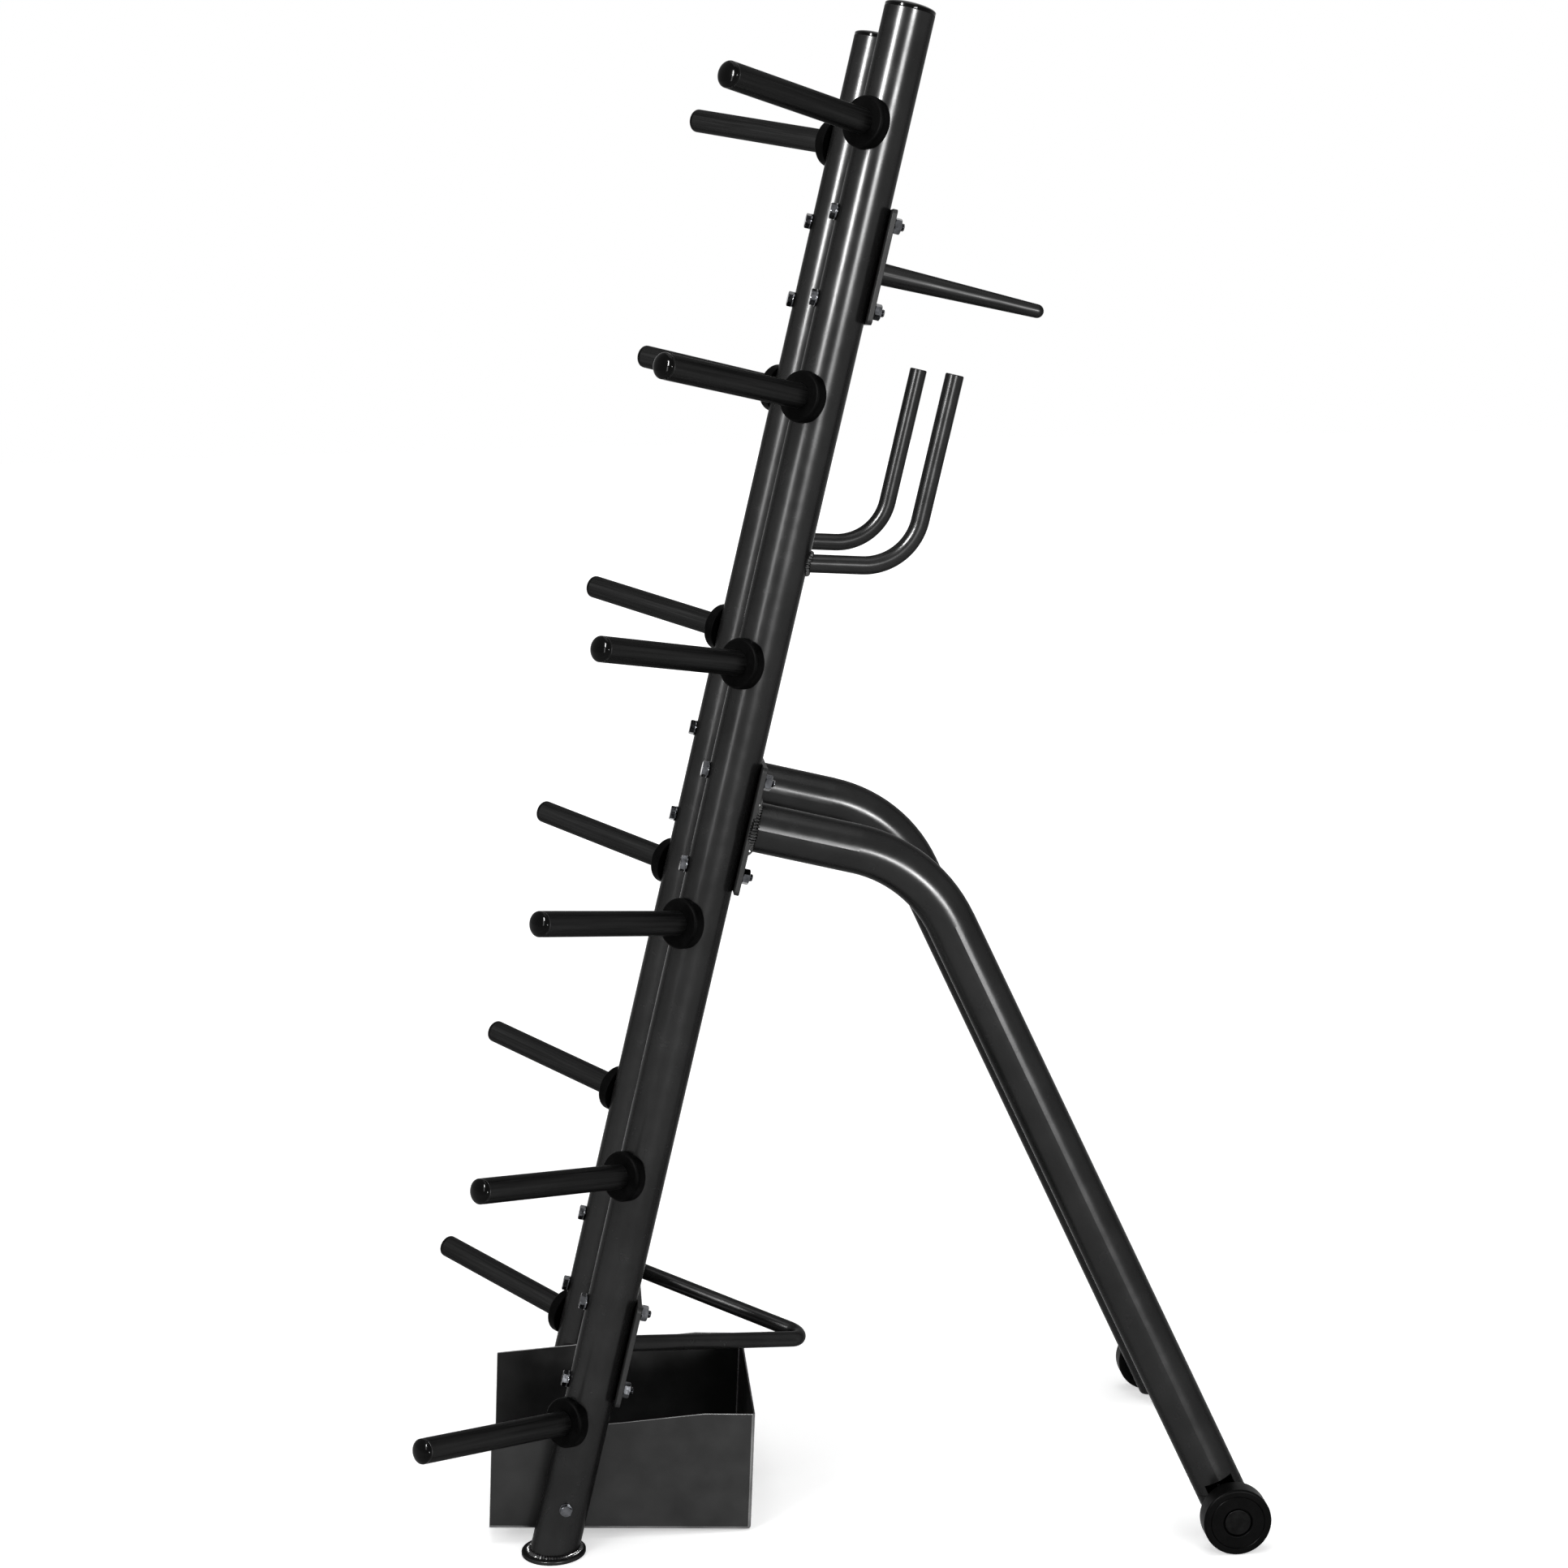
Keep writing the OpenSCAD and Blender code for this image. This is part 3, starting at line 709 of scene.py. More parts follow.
def merged(parts: Parts) -> BMesh:
    """Puts several shapes into one.

    Args:
        parts: the shapes, which are used up, each with its own place.

    Returns:
        The shape that holds them all.
    """
    whole = bmesh.new()
    for part, place in parts:
        part.transform(place)
        mesh = bpy.data.meshes.new("part")
        part.to_mesh(mesh)
        part.free()
        whole.from_mesh(mesh)
        bpy.data.meshes.remove(mesh)
    return whole


def add_piece(name: str, shape: BMesh, place: Matrix, finish: Finish, *replaces: str,
              streaks: Streaks = None, body: Body = Body.STAND, crease: float = 32.0) -> bpy.types.Object:
    """Makes a piece of a shape.

    Args:
        name: the piece's name.
        shape: its shape, which is used up.
        place: where the shape's own frame lies in the model.
        finish: its finish.
        replaces: CAD nodes that it stands for.
        streaks: direction of the finish's streaks.
        body: the body that it rides on.
        crease: angle in degrees above which an edge stays sharp.

    Returns:
        The piece's object.
    """
    shape.transform(place)
    bmesh.ops.recalc_face_normals(shape, faces=shape.faces)
    mesh = bpy.data.meshes.new(name)
    shape.to_mesh(mesh)
    shape.free()
    mesh.shade_smooth()
    mesh.set_sharp_from_angle(angle=math.radians(crease))
    mesh.materials.append(material_of(finish, streaks))
    piece = bpy.data.objects.new(name, mesh)
    bpy.context.collection.objects.link(piece)
    flats = piece.modifiers.new("true_flats", "WEIGHTED_NORMAL")
    flats.keep_sharp = True
    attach(piece, body.value)
    if replaces:
        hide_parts(*replaces)
    return piece


# Places on the stand, and the sizes that its sub-assemblies share

TUBE_R = 30.0
PLATE_REAR = 36.2
UPPER_HEIGHT = 1621.0
LEG_PLATE_HEIGHT = 943.0
LOWER_HEIGHT = 275.0


@dataclass(frozen=True)
class StandFrame:
    """The stand's own places and directions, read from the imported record's mounts."""

    mounts: dict[str, dict]

    def point(self, name: str) -> Vector:
        """A mount's point, in metres."""
        return Vector(self.mounts[name]["pos_m"])

    def hub(self, side: Side) -> Vector:
        """A wheel's joint, in metres."""
        name = f"{side.word}_wheel_spin"
        return Vector(next(joint["pos_m"] for joint in frame["joints"] if joint["name"] == name))

    def peg_axis(self, side: Side) -> Vector:
        """Unit vector outwards along a side's pegs."""
        return Vector(self.mounts[f"{side.word}_peg_1"]["axis"]).normalized()

    def lean(self) -> Vector:
        """Unit vector up along the uprights."""
        return (self.point("right_peg_6") - self.point("right_peg_1")).normalized()

    def back(self) -> Vector:
        """Unit vector backwards, square to the uprights."""
        return self.lean().cross(ACROSS)

    def upright(self, side: Side) -> Matrix:
        """An upright's frame: Z up along its axis from the floor, Y straight behind it."""
        return basis(self.point(f"{side.word}_foot_face"), self.lean(), ACROSS)

    def middle(self) -> Matrix:
        """The same frame midway between the uprights."""
        foot = self.point("right_foot_face")
        return basis(Vector((0, foot.y, foot.z)), self.lean(), ACROSS)

    def peg(self, side: Side, number: int) -> Matrix:
        """Finds a peg.

        Args:
            side: the peg's side.
            number: its number, from 1 at the bottom.

        Returns:
            Its frame: Z out along it from the upright's axis, X along the upright.
        """
        axis = self.peg_axis(side)
        place = self.point(f"{side.word}_peg_{number}")
        foot = self.point(f"{side.word}_foot_face")
        return basis(place - axis * ((place.x - foot.x) / axis.x), axis, self.lean())


STAND = StandFrame({mount["name"]: mount for mount in frame["record"]["mounts"]})


@dataclass(frozen=True)
class WeldBead:
    """A painted weld bead, laid in short overlapping ripples."""

    radius: float = 3.3
    gap: float = 0.6
    ripple: float = 3.6
    ripple_depth: float = 0.24
    wander: float = 23.0
    wander_depth: float = 0.1
    points_per_ripple: int = 6
    sides: int = 10

    def thickness(self, distance: float) -> float:
        """Gives the bead its ripples.

        Args:
            distance: how far along the bead.

        Returns:
            The bead's radius there.
        """
        wave = math.sin(math.tau * distance / self.ripple)
        drift = math.sin(math.tau * distance / self.wander)
        return self.radius * (1 + self.ripple_depth * wave + self.wander_depth * drift)

    def around(self, rod_r: float, stretch: float = 1.0, tube_r: float = 0.0) -> BMesh:
        """Lays the bead round a rod along Z that meets a flat face, or a tube along X.

        Args:
            rod_r: the rod's radius.
            stretch: how far the line is drawn out along X, where the rod slants.
            tube_r: the tube's radius, or 0 for a flat face.

        Returns:
            The bead.
        """
        radius = rod_r + self.gap
        count = round(math.tau * radius / self.ripple) * self.points_per_ripple
        path = []
        for angle in turn_steps(count):
            across = radius * math.sin(angle)
            lift = math.sqrt((tube_r + self.gap) ** 2 - across ** 2) if tube_r else 0.0
            path.append(Vector((radius * stretch * math.cos(angle), across, lift)))
        return sweep(path, self.thickness, self.sides, closed=True)


# Uprights, pegs and discs


@dataclass(frozen=True)
class Upright:
    """An upright: its tube, cap, foot flange and the weld between tube and flange."""

    side: Side
    tube_r: float = TUBE_R
    wall: float = 2.0
    length: float = 1911.0
    edge: float = 0.6
    cap_h: float = 9.0
    cap_rim_h: float = 3.0
    plug_gap: float = 0.2
    plug_taper: float = 3.8
    flange_r: float = 40.0
    flange_t: float = 5.0
    flange_edge: float = 1.4
    weld_gap: float = 0.8

    def build(self) -> None:
        """Makes the upright's pieces."""
        self.make_tube()
        self.make_cap()
        self.make_foot()

    def make_tube(self) -> None:
        """Makes the tube, cut level on its flange."""
        inner = self.tube_r - self.wall
        top = rounded((self.tube_r - self.edge, self.length - self.edge), self.edge, 0, 90)
        profile = [(inner, -self.tube_r), (self.tube_r, -self.tube_r)] + top + [(inner, self.length)]
        shape = lathe(profile, closed=True, sides=LARGE_ROUND_SIDES)
        shape.transform(STAND.upright(self.side))
        geometry = shape.verts[:] + shape.edges[:] + shape.faces[:]
        cut = bmesh.ops.bisect_plane(shape, geom=geometry, plane_co=(0, 0, self.flange_t * MM),
                                     plane_no=(0, 0, 1), clear_inner=True)
        rim = [item for item in cut["geom_cut"] if isinstance(item, bmesh.types.BMEdge)]
        bmesh.ops.bridge_loops(shape, edges=rim)
        name = f"{self.side.word}_upright"
        add_piece(f"{name}_tube", shape, Matrix(), FRAME_COAT, name)

    def make_cap(self) -> None:
        """Makes the cap with its plug."""
        plug_r = self.tube_r - self.wall - self.plug_gap
        plug = [(plug_r - self.plug_taper, -self.tube_r), (plug_r, 0)]
        shape = lathe(plug + dome(self.tube_r, self.cap_rim_h, self.cap_h - self.cap_rim_h))
        name = f"{self.side.word}_upright_cap"
        place = STAND.upright(self.side) @ raised(self.length)
        add_piece(f"{name}_moulding", shape, place, CAP_PLASTIC, name)

    def make_foot(self) -> None:
        """Makes the flange and its weld."""
        word = self.side.word
        foot = Matrix.Translation(STAND.point(f"{word}_foot_face"))
        rim = eased_rim(self.flange_r, self.flange_t, self.flange_edge)
        shape = lathe([(0, 0)] + rim + [(0, self.flange_t)])
        add_piece(f"{word}_foot_plate", shape, foot, FRAME_COAT, f"{word}_foot_flange")
        lean = STAND.lean()
        place = foot @ shifted(0, self.flange_t * lean.y / lean.z, self.flange_t) @ turned(90, "Z")
        bead = WeldBead(gap=self.weld_gap).around(self.tube_r, 1 / lean.z)
        add_piece(f"{word}_foot_weld", bead, place, WELD_COAT)


@dataclass(frozen=True)
class PegRow:
    """The six plate pegs of an upright, each with its cap, and their rubber discs."""

    side: Side
    pegs: int = 6
    tube_r: float = TUBE_R
    peg_r: float = 15.0
    wall: float = 2.0
    length: float = 250.0
    edge: float = 0.8
    cap_h: float = 8.0
    cap_rim_h: float = 2.0
    plug_gap: float = 0.2
    plug_taper: float = 1.0
    disc_r: float = 30.5
    disc_t: float = 10.0
    disc_saddle: float = 5.0
    disc_edge: float = 4.0
    disc_lip: float = 0.8
    seat_gap: float = 0.2
    seat_shares: tuple[float, ...] = (0.75, 0.5, 0.25, 0.0)

    def build(self) -> None:
        """Makes the row of pegs, caps and discs."""
        word = self.side.word
        streaks = tuple(STAND.peg_axis(self.side))
        seat = raised(self.tube_r + self.length - self.cap_h)
        discs = []
        for number in range(1, self.pegs + 1):
            place = STAND.peg(self.side, number)
            name = f"{word}_peg_{number}"
            add_piece(f"{name}_tube", self.tube_shape(), place, PEG_COAT, name, streaks=streaks)
            name = f"{word}_peg_cap_{number}"
            add_piece(f"{name}_moulding", self.cap_shape(), place @ seat, CAP_PLASTIC, name)
            discs.append((self.disc_shape(), place))
        add_piece(f"{word}_rubber_discs", merged(discs), Matrix(), DISC_RUBBER, f"{word}_peg_discs")

    def tube_shape(self) -> BMesh:
        """Makes a peg's tube.

        Returns:
            The tube, with a rounded end.
        """
        inner = self.peg_r - self.wall
        start = self.tube_r - self.wall / 2
        end = self.tube_r + self.length - self.cap_h
        outer_end = rounded((self.peg_r - self.edge, end - self.edge), self.edge, 0, 90)
        return lathe([(inner, start), (self.peg_r, start)] + outer_end + [(inner, end)], closed=True)

    def cap_shape(self) -> BMesh:
        """Makes a peg's cap.

        Returns:
            The cap, standing on the tube's end, with its plug below.
        """
        plug_r = self.peg_r - self.wall - self.plug_gap
        plug = [(0, -self.peg_r), (plug_r - self.plug_taper, -self.peg_r), (plug_r, 0)]
        return lathe(plug + dome(self.peg_r, self.cap_rim_h, self.cap_h - self.cap_rim_h))

    def seat_ring(self, reach: float, lift: float = 0.0) -> Profile:
        """A ring that follows the upright's surface.

        Args:
            reach: its radius round the peg.
            lift: how far it lies off the surface.

        Returns:
            Its points.
        """
        low = self.tube_r - self.disc_saddle
        seat_r = self.tube_r + self.seat_gap
        points = []
        for angle in turn_steps(ROUND_SIDES):
            across = reach * math.sin(angle)
            points.append((reach, math.sqrt(max(seat_r ** 2 - across ** 2, low ** 2)) + lift))
        return points

    def disc_shape(self) -> BMesh:
        """Makes the rubber disc's shape.

        Returns:
            The disc: a flat outer face, a fat round edge and an inner face that sits on the tube.
        """
        outer_face = self.tube_r + self.disc_t
        corner = (self.disc_r - self.disc_edge, outer_face - self.disc_edge)
        edge = [(self.peg_r, outer_face)] + rounded(corner, self.disc_edge, 90, 0)
        width = self.disc_r - self.peg_r
        lines = [[point] * ROUND_SIDES for point in edge]
        lines += [self.seat_ring(self.disc_r, self.disc_lip), self.seat_ring(self.disc_r - self.disc_lip)]
        lines += [self.seat_ring(self.peg_r + share * width) for share in self.seat_shares]
        shape = bmesh.new()
        join_rings(shape, [ring(shape, line) for line in lines], closed=True)
        return shape


# Cross plates and the rods welded to them and to the uprights


@dataclass(frozen=True)
class CrossPlate:
    """A flat plate bolted across the back of both uprights."""

    name: str
    height: float
    width: float
    length: float = 410.0
    thickness: float = 6.0
    corner_r: float = 6.0
    edge: float = 0.9
    rear: float = PLATE_REAR

    def outline(self, inset: float) -> Profile:
        """Draws the plate's rounded outline.

        Args:
            inset: how far it is drawn in.

        Returns:
            Its points.
        """
        reach_x = self.length / 2 - self.corner_r
        reach_z = self.width / 2 - self.corner_r
        points = []
        for number, (right, up) in enumerate(((1, 1), (-1, 1), (-1, -1), (1, -1))):
            start = 90 * number
            corner = (right * reach_x, up * reach_z)
            points += rounded(corner, self.corner_r - inset, start, start + 90)
        return points

    def build(self) -> None:
        """Makes the plate with its edges eased all round."""
        shape = bmesh.new()
        eased = rounded((0, self.edge), self.edge, -90, 0)
        levels = [(self.edge - reach, height) for reach, height in eased]
        levels += [(inset, self.thickness - height) for inset, height in reversed(levels)]
        layers = []
        for inset, height in levels:
            layers.append([shape.verts.new(Vector((x, y, height)) * MM) for x, y in self.outline(inset)])
        join_rings(shape, layers, capped=True)
        place = STAND.middle() @ shifted(0, self.rear, self.height) @ turned(90, "X")
        add_piece(f"{self.name}_sheet", shape, place, PLATE_COAT, self.name)


CROSS_PLATES = (
    CrossPlate("upper_cross_plate", UPPER_HEIGHT, 135.0),
    CrossPlate("leg_cross_plate", LEG_PLATE_HEIGHT, 158.0),
    CrossPlate("lower_cross_plate", LOWER_HEIGHT, 130.0),
)


@dataclass(frozen=True)
class BarPeg:
    """The tapered peg behind the upper plate."""

    height: float = UPPER_HEIGHT
    rear: float = PLATE_REAR
    length: float = 225.0
    root_r: float = 14.0
    tip_r: float = 8.5
    tip_arc: float = 80.0

    def build(self) -> None:
        """Makes the peg and its weld."""
        tip = rounded((0, self.length - self.tip_r), self.tip_r, 0, self.tip_arc)
        shape = lathe([(self.root_r, 0)] + tip + [(0, self.length)])
        place = STAND.middle() @ shifted(0, self.rear, self.height) @ turned(-90, "X")
        streaks = tuple(STAND.back())
        add_piece("bar_peg_taper", shape, place, BAR_PEG_COAT, "bar_peg", streaks=streaks)
        add_piece("bar_peg_weld", WeldBead().around(self.root_r), place, WELD_COAT)


@dataclass(frozen=True)
class JHook:
    """A bar hook: a bent rod welded to the back of an upright."""

    side: Side
    height: float = 1262.0
    tilt: float = 10.5
    reach: float = 148.0
    rise: float = 259.0
    bend_r: float = 68.0
    rod_r: float = 11.0
    end_edge: float = 1.0
    sunk: float = 1.0
    tube_r: float = TUBE_R

    def build(self) -> None:
        """Makes the hook and its weld."""
        word = self.side.word
        root = self.tube_r - self.sunk
        slope = math.tan(math.radians(self.tilt))
        run = ((root, root * slope), (self.reach, self.reach * slope), (self.reach, self.rise))
        corners = [Vector((0, y, z)) for y, z in run]
        place = STAND.upright(self.side) @ raised(self.height)
        shape = rod(corners, self.bend_r, self.rod_r, self.end_edge)
        add_piece(f"{word}_hook_rod", shape, place, FRAME_COAT, f"{word}_j_hook")
        toward = raised(self.tube_r * slope) @ turned(-90, "X") @ turned(90, "Z")
        weld = WeldBead().around(self.rod_r, tube_r=self.tube_r)
        add_piece(f"{word}_hook_weld", weld, place @ toward, WELD_COAT)


@dataclass(frozen=True)
class VLoop:
    """The round bar bent to a V behind the lower plate."""

    height: float = LOWER_HEIGHT
    rear: float = PLATE_REAR
    reach: float = 273.0
    root_w: float = 300.0
    bend_r: float = 22.0
    rod_r: float = 10.0
    end_edge: float = 1.0
    sunk: float = 1.0

    def build(self) -> None:
        """Makes the bent bar and its two welds."""
        half_w = self.root_w / 2
        bend_y = self.reach - self.rod_r - self.bend_r
        depth = bend_y - self.rear
        angle = math.atan2(half_w, depth) - math.asin(self.bend_r / math.hypot(half_w, depth))
        start_y = self.rear - self.sunk
        apex_y = bend_y + self.bend_r / math.sin(angle)
        corners = [Vector((x, y, 0)) for x, y in ((-half_w, start_y), (0, apex_y), (half_w, start_y))]
        place = STAND.middle() @ raised(self.height)
        shape = rod(corners, self.bend_r, self.rod_r, self.end_edge)
        add_piece("v_loop_bar", shape, place, FRAME_COAT, "v_loop")
        welds = []
        for x in (-half_w, half_w):
            bead = WeldBead().around(self.rod_r, 1 / math.cos(angle))
            welds.append((bead, shifted(x, self.rear, 0) @ turned(-90, "X")))
        add_piece("v_loop_welds", merged(welds), place, WELD_COAT)


# Rear legs and wheels


@dataclass(frozen=True)
class RearLeg:
    """A rear leg's geometry, and the weld that holds it to the leg plate."""

    side: Side
    height: float = 946.0
    corner: float = 247.0
    bend: float = 51.7
    tilt: float = 4.1
    tube_r: float = TUBE_R
    weld_r: float = 4.4
    weld_gap: float = 0.8
    plate_rear: float = PLATE_REAR
    wheel_r: float = 42.0

    def end_frame(self) -> Matrix:
        """Follows the leg's centre line to its end.

        Returns:
            The frame on the wheel's axis, with Z up along the leg.
        """
        root = STAND.upright(self.side) @ raised(self.height) @ turned(-self.side.value * self.tilt, "Y")
        corner = root @ shifted(0, self.corner, 0) @ turned(90 - self.bend, "X")
        drop = corner.translation.z - self.wheel_r * MM
        return corner @ Matrix.Translation((0, 0, -drop / corner.col[2].z))

    def build(self) -> None:
        """Makes the weld round the leg's root."""
        place = STAND.upright(self.side) @ shifted(0, self.plate_rear, self.height) @ turned(-90, "X")
        bead = WeldBead(radius=self.weld_r, gap=self.weld_gap).around(self.tube_r)
        add_piece(f"{self.side.word}_leg_weld", bead, place, WELD_COAT)


@dataclass(frozen=True)
class Wheel:
    """A transport wheel with its axle bolt."""

    side: Side
    radius: float = 42.0
    width: float = 28.0
    edge: float = 3.0
    sides: int = 128
    bore_r: float = 6.08
    recess_r: float = 18.0
    recess_depth: float = 4.0
    recess_edge: float = 1.0
    groove_r: float = 33.0
    groove: float = 0.7
    axle_r: float = 6.0
    axle_sides: int = 64
    head_r: float = 16.0
    head_h: float = 3.0
    head_rim: float = 3.0
    head_edge: float = 0.7
    thread_out: float = 14.0

    def build(self) -> None:
        """Makes the wheel and its axle."""
        word = self.side.word
        place = basis(STAND.hub(self.side), ACROSS * self.side.value, Vector((0, 0, 1)))
        add_piece(f"{word}_wheel_tyre", self.tyre_shape(), place, WHEEL_RUBBER, f"{word}_wheel",
                  body=Body(f"{word}_wheel"))
        low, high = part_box(f"{word}_wheel_axle")
        place.translation.x = self.side.value * max(abs(low.x), abs(high.x))
        shape = self.axle_shape((high.x - low.x) / MM)
        add_piece(f"{word}_axle_bolt", shape, place, BLACK_STEEL, f"{word}_wheel_axle")

    def tyre_shape(self) -> BMesh:
        """Makes the wheel's shape.

        Returns:
            The wheel: rounded tread, a fine groove in each face and the recess round the bolt.
        """
        half = self.width / 2
        floor = half - self.recess_depth
        rim = self.radius - self.edge
        eased = self.recess_edge
        recess = [(self.bore_r, floor), (self.recess_r - eased, floor), (self.recess_r, floor + eased)]
        lip = rounded((self.recess_r + eased, half - eased), eased, 180, 90)
        outer_groove = [(self.groove_r - self.groove, half), (self.groove_r, half - self.groove),
                        (self.groove_r + self.groove, half)]
        inner_groove = [(reach, -height) for reach, height in reversed(outer_groove)]
        tread = rounded((rim, half - self.edge), self.edge, 90, 0) + [(self.radius, 0)]
        tread += rounded((rim, self.edge - half), self.edge, 0, -90)
        profile = recess + lip + outer_groove + tread + inner_groove + [(self.bore_r, -half)]
        return lathe(profile, closed=True, sides=self.sides)

    def axle_shape(self, length: float) -> BMesh:
        """Makes the axle bolt's shape.

        Args:
            length: its whole length.

        Returns:
            The bolt, with its round head at Z 0 and below, and a threaded end.
        """
        eased = self.head_edge
        end = self.thread_out - length
        head = [(0, 0), (self.head_r - self.head_rim, 0)]
        head += rounded((self.head_r - eased, -eased), eased, 90, 0)
        head += [(self.head_r, -self.head_h), (self.axle_r, -self.head_h)]
        shank = lathe(head + [(self.axle_r, end), (0, end)], sides=self.axle_sides)
        thread = Thread(self.axle_r, self.thread_out).shape()
        return merged([(shank, Matrix()), (thread, raised(end) @ turned(180, "X"))])


# Fasteners


@dataclass(frozen=True)
class Thread:
    """The threaded end of a bolt, from Z 0 up."""

    radius: float
    length: float
    pitch: float = 1.5
    depth: float = 0.9
    point: float = 1.2
    rings_per_pitch: int = 6
    sides: int = 32

    def shape(self) -> BMesh:
        """Makes the thread's shape.

        Returns:
            A screw thread with an eased point.
        """
        shape = bmesh.new()
        count = max(2, round(self.length / self.pitch * self.rings_per_pitch))
        rings = []
        for step in range(count + 1):
            height = self.length * step / count
            crest_r = self.radius - max(0.0, height - self.length + self.point)
            turns = [(height / self.pitch + angle / math.tau) % 1.0 for angle in turn_steps(self.sides)]
            radii = [crest_r - self.depth * abs(2 * turn - 1) for turn in turns]
            rings.append(ring(shape, [(radius, height) for radius in radii]))
        join_rings(shape, rings, capped=True)
        return shape


@dataclass(frozen=True)
class HexSize:
    """Sizes of a bolt's head, nut and washers."""

    thread_d: float
    flats: float
    head_h: float
    nut_h: float
    washer_t: float = 2.0
    washer_ratio: float = 2.0
    washer_edge: float = 0.5
    washer_gap: float = 0.3
    face_ratio: float = 0.475
    chamfer: float = 30.0
    chamfer_steps: int = 4
    bore_edge: float = 0.8
    thread_bite: float = 0.1

    def hexagon(self, height: float, both_ends: bool, bore_r: float) -> BMesh:
        """A hexagon with turned-off corners, standing on Z 0.

        Args:
            height: its height.
            both_ends: turns the corners off at the bottom as well.
            bore_r: radius of its bore, or 0 for a solid head.

        Returns:
            The head or nut.
        """
        corner = self.flats / math.sqrt(3)
        face_r = self.face_ratio * self.flats
        cut = corner - face_r
        slope = math.tan(math.radians(self.chamfer))
        shares = [step / self.chamfer_steps for step in range(self.chamfer_steps + 1)]
        cones = [(face_r + cut * share, height - cut * slope * share) for share in shares]
        lower = [(cone, height - lift) for cone, lift in cones] if both_ends else [(corner, 0.0)]
        side = math.tau / HEX_SIDES
        outline = [self.flats / 2 / math.cos(angle % side - side / 2) for angle in turn_steps(HEX_STEPS)]
        lines = [[(min(edge, cone), lift) for edge in outline] for cone, lift in lower + cones[::-1]]
        if bore_r:
            eased = self.bore_edge
            bore = ((bore_r + eased, height), (bore_r, height - eased),
                    (bore_r, eased), (bore_r + eased, 0.0))
            lines += [[point] * HEX_STEPS for point in bore]
        shape = bmesh.new()
        rings = [ring(shape, line) for line in lines]
        if not bore_r:
            shape.faces.new(rings[0])
            rings.append(ring(shape, [(0.0, height)]))
        join_rings(shape, rings, closed=bool(bore_r))
        return shape

    def head(self) -> BMesh:
        """A bolt's head, standing on its washer."""
        return self.hexagon(self.head_h, False, 0)

    def nut(self) -> BMesh:
        """A nut, standing on its washer."""
        return self.hexagon(self.nut_h, True, self.thread_d / 2 - self.thread_bite)

    def washer(self) -> BMesh:
        """Makes a flat washer with punched, rounded edges.

        Returns:
            The washer, standing on Z 0.
        """
        inner = self.thread_d / 2 + self.washer_gap
        rim = eased_rim(self.washer_ratio * self.thread_d / 2, self.washer_t, self.washer_edge)
        return lathe([(inner, 0)] + rim + [(inner, self.washer_t)], closed=True, sides=HEX_STEPS)


PLATE_HEX = HexSize(thread_d=10.0, flats=17.0, head_h=6.4, nut_h=8.4)
TRAY_HEX = HexSize(thread_d=8.0, flats=13.0, head_h=5.28, nut_h=6.4)
AXLE_HEX = HexSize(thread_d=12.0, flats=19.0, head_h=8.4, nut_h=8.4)

# Large primes, which make each bolt's turn differ from the next one's.
TURN_SEED_Z = 7919
TURN_SEED_X = 104729
DEGREES_PER_FLAT = 60


def add_fasteners(node: str, parts: Parts) -> None:
    """Makes one group of fasteners in place of its CAD node."""
    add_piece(f"{node}_zinc", merged(parts), Matrix(), ZINC_PLATE, node, crease=25.0)


@dataclass(frozen=True)
class Joint:
    """A bolted joint along Z: where its head, washers and nut bear."""

    size: HexSize
    head_seat: float
    nut_seat: float
    thread_out: float

    def turn(self, place: Matrix) -> Matrix:
        """A small turn of its own, as no two bolts stop at the same angle."""
        seed = place.translation.z * TURN_SEED_Z + place.translation.x * TURN_SEED_X
        return turned(seed % DEGREES_PER_FLAT, "Z")

    def bolt(self, place: Matrix) -> Parts:
        """Makes one bolt.

        Args:
            place: the bolt's frame.

        Returns:
            Its head and thread end.
        """
        here = place @ self.turn(place)
        thread = Thread(self.size.thread_d / 2, self.size.nut_h + self.thread_out)
        head_place = here @ raised(self.head_seat - self.size.washer_t) @ turned(180, "X")
        thread_place = here @ raised(self.nut_seat + self.size.washer_t)
        return [(self.size.head(), head_place), (thread.shape(), thread_place)]

    def washers(self, place: Matrix) -> Parts:
        """The washers under head and nut."""
        lows = (self.head_seat - self.size.washer_t, self.nut_seat)
        return [(self.size.washer(), place @ raised(low)) for low in lows]

    def nut(self, place: Matrix) -> Parts:
        """The nut."""
        seat = raised(self.nut_seat + self.size.washer_t)
        return [(self.size.nut(), place @ self.turn(place) @ seat)]

    def build(self, name: str, places: list[Matrix]) -> None:
        """Makes the bolts, washers and nuts of the joint at many places.

        Args:
            name: what the CAD nodes' names start with.
            places: each bolt's frame.
        """
        for kind, parts_at in (("bolts", self.bolt), ("washers", self.washers), ("nuts", self.nut)):
            add_fasteners(f"{name}_{kind}", [part for place in places for part in parts_at(place)])


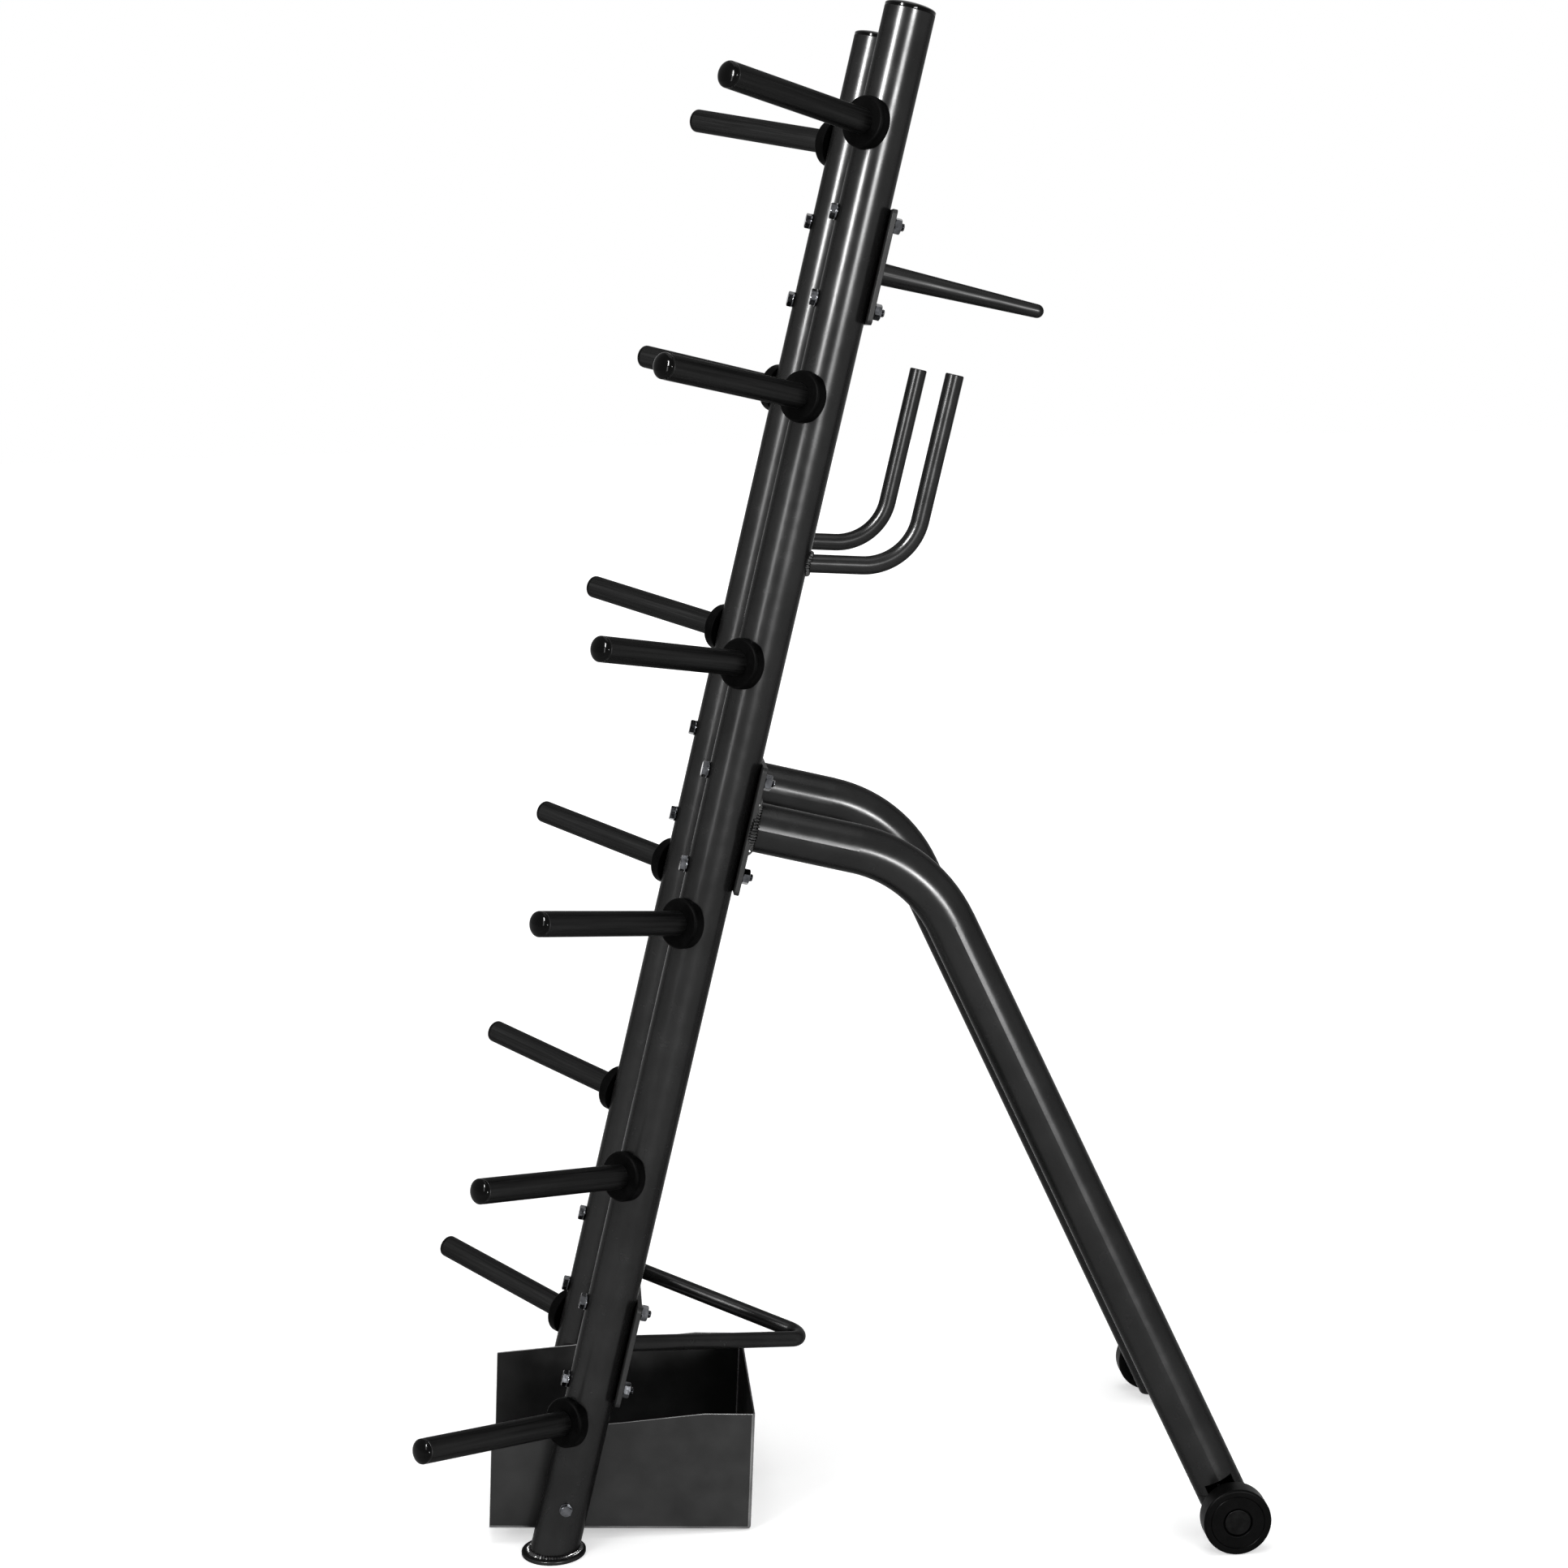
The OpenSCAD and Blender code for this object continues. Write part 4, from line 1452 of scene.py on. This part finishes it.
@dataclass(frozen=True)
class Fasteners:
    """All bolts, washers and nuts of the stand."""

    bolt_pitch: float = 101.0
    leg_bolt_pitch: float = 117.0
    tray_height: float = 70.4
    notch_floor: float = 16.0
    stud_out: float = 4.0
    axle_nut_x: float = 184.68
    plate_joint: Joint = Joint(PLATE_HEX, -30.2, PLATE_REAR, 4.0)
    tray_joint: Joint = Joint(TRAY_HEX, -205.2, -142.8, 2.4)

    def build(self) -> None:
        """Makes the fasteners, group by group."""
        rows = ((UPPER_HEIGHT, self.bolt_pitch), (LEG_PLATE_HEIGHT, self.leg_bolt_pitch),
                (LOWER_HEIGHT, self.bolt_pitch))
        heights = [middle + sign * pitch / 2 for sign in (-1, 1) for middle, pitch in rows]
        plates = [STAND.upright(side) @ raised(height) @ turned(-90, "X")
                  for side in Side for height in heights]
        tray_line = STAND.middle() @ raised(self.tray_height)
        trays = [tray_line @ turned(-90 * side.value, "Y") for side in Side]
        self.plate_joint.build("plate", plates)
        self.tray_joint.build("tray", trays)
        self.make_leg_ends()
        self.make_axle_nuts()

    def make_leg_ends(self) -> None:
        """Makes the stud, washer and nut in the notch at each leg's end."""
        ends = [RearLeg(side).end_frame() @ raised(self.notch_floor) for side in Side]
        stud = Thread(PLATE_HEX.thread_d / 2, PLATE_HEX.nut_h + PLATE_HEX.washer_t + self.stud_out)
        add_fasteners("leg_end_studs", [(stud.shape(), end) for end in ends])
        add_fasteners("leg_end_washers", [(PLATE_HEX.washer(), end) for end in ends])
        seat = raised(PLATE_HEX.washer_t)
        add_fasteners("leg_end_nuts", [(PLATE_HEX.nut(), end @ seat) for end in ends])

    def make_axle_nuts(self) -> None:
        """Makes the nut on the inner end of each axle."""
        nuts = []
        for side in Side:
            place = STAND.hub(side)
            place.x = side.value * self.axle_nut_x * MM
            nuts.append((AXLE_HEX.nut(), Matrix.Translation(place) @ turned(90 * side.value, "Y")))
        add_fasteners("axle_nuts", nuts)


# Tray


@dataclass(frozen=True)
class Tray:
    """The folded sheet tray between the uprights, open at the front and the top."""

    width: float = 289.6
    length: float = 328.0
    front_h: float = 122.0
    rear_h: float = 153.0
    kink: float = 63.0
    sheet: float = 2.0
    fold_r: float = 4.0
    fold_steps: int = 6
    rim_edge: float = 0.7
    rim_steps: int = 2
    rim_angle: float = 60.0
    rim_slot: int = 1
    tilt: float = 3.4
    front: float = 80.0
    rear_lift: float = 2.5

    def place(self) -> Matrix:
        """Finds the tray.

        Returns:
            Its frame: Y back along its floor, from the middle of its open front.
        """
        rise = self.rear_lift + self.length * math.sin(math.radians(self.tilt))
        foot = Matrix.Translation(STAND.middle().translation)
        return foot @ shifted(0, -self.front, rise) @ turned(-self.tilt, "X")

    def shape(self) -> BMesh:
        """Makes the sheet.

        Returns:
            Its outer faces, with its folds rounded.
        """
        shape = bmesh.new()
        half = self.width / 2
        side_line = ((0, 0), (self.length, 0), (self.length, self.rear_h),
                     (self.length - self.kink, self.rear_h), (0, self.front_h))
        walls = []
        for x in (-half, half):
            walls.append([shape.verts.new(Vector((x, y, z)) * MM) for y, z in side_line])
        left, right = walls
        faces = (left, right, [left[0], right[0], right[1], left[1]],
                 [left[1], right[1], right[2], left[2]])
        for face in faces:
            shape.faces.new(face)
        bmesh.ops.recalc_face_normals(shape, faces=shape.faces)
        folds = [edge for edge in shape.edges if len(edge.link_faces) == 2]
        # The folds take the rim's slot, so they carry the painted highlight too.
        bmesh.ops.bevel(shape, geom=folds, offset=self.fold_r * MM, offset_type="OFFSET",
                        segments=self.fold_steps, profile=0.5, affect="EDGES", material=self.rim_slot)
        return shape

    def build(self) -> None:
        """Makes the tray with its sheet's thickness and eased rim."""
        piece = add_piece("tray_sheet", self.shape(), self.place(), TRAY_COAT, "tray")
        # The rims and folds take the lighter finish, a painted highlight along them.
        piece.data.materials.append(material_of(RIM_HIGHLIGHT_COAT))
        thickness = piece.modifiers.new("sheet", "SOLIDIFY")
        thickness.thickness = self.sheet * MM
        thickness.offset = -1.0
        thickness.use_even_offset = True
        rim = piece.modifiers.new("rim", "BEVEL")
        rim.width = self.rim_edge * MM
        rim.segments = self.rim_steps
        rim.material = self.rim_slot
        rim.limit_method = "ANGLE"
        rim.angle_limit = math.radians(self.rim_angle)
        # The normals are weighted last, on the sheet with its thickness and rim.
        piece.modifiers.move(0, 2)


def main() -> None:
    """Builds the studio and dresses the model, piece by piece."""
    logging.basicConfig(level=logging.INFO, format="%(message)s")
    Studio().build()
    finish_cad_nodes()
    for side in Side:
        for kind in (Upright, PegRow, JHook, RearLeg, Wheel):
            kind(side).build()
            LOG.info("built the %s %s", side.word, kind.__name__)
    for plate in CROSS_PLATES:
        plate.build()
        LOG.info("built %s", plate.name)
    for part in (BarPeg(), VLoop(), Tray(), Fasteners()):
        part.build()
        LOG.info("built %s", type(part).__name__)


if __name__ == "__main__":
    main()
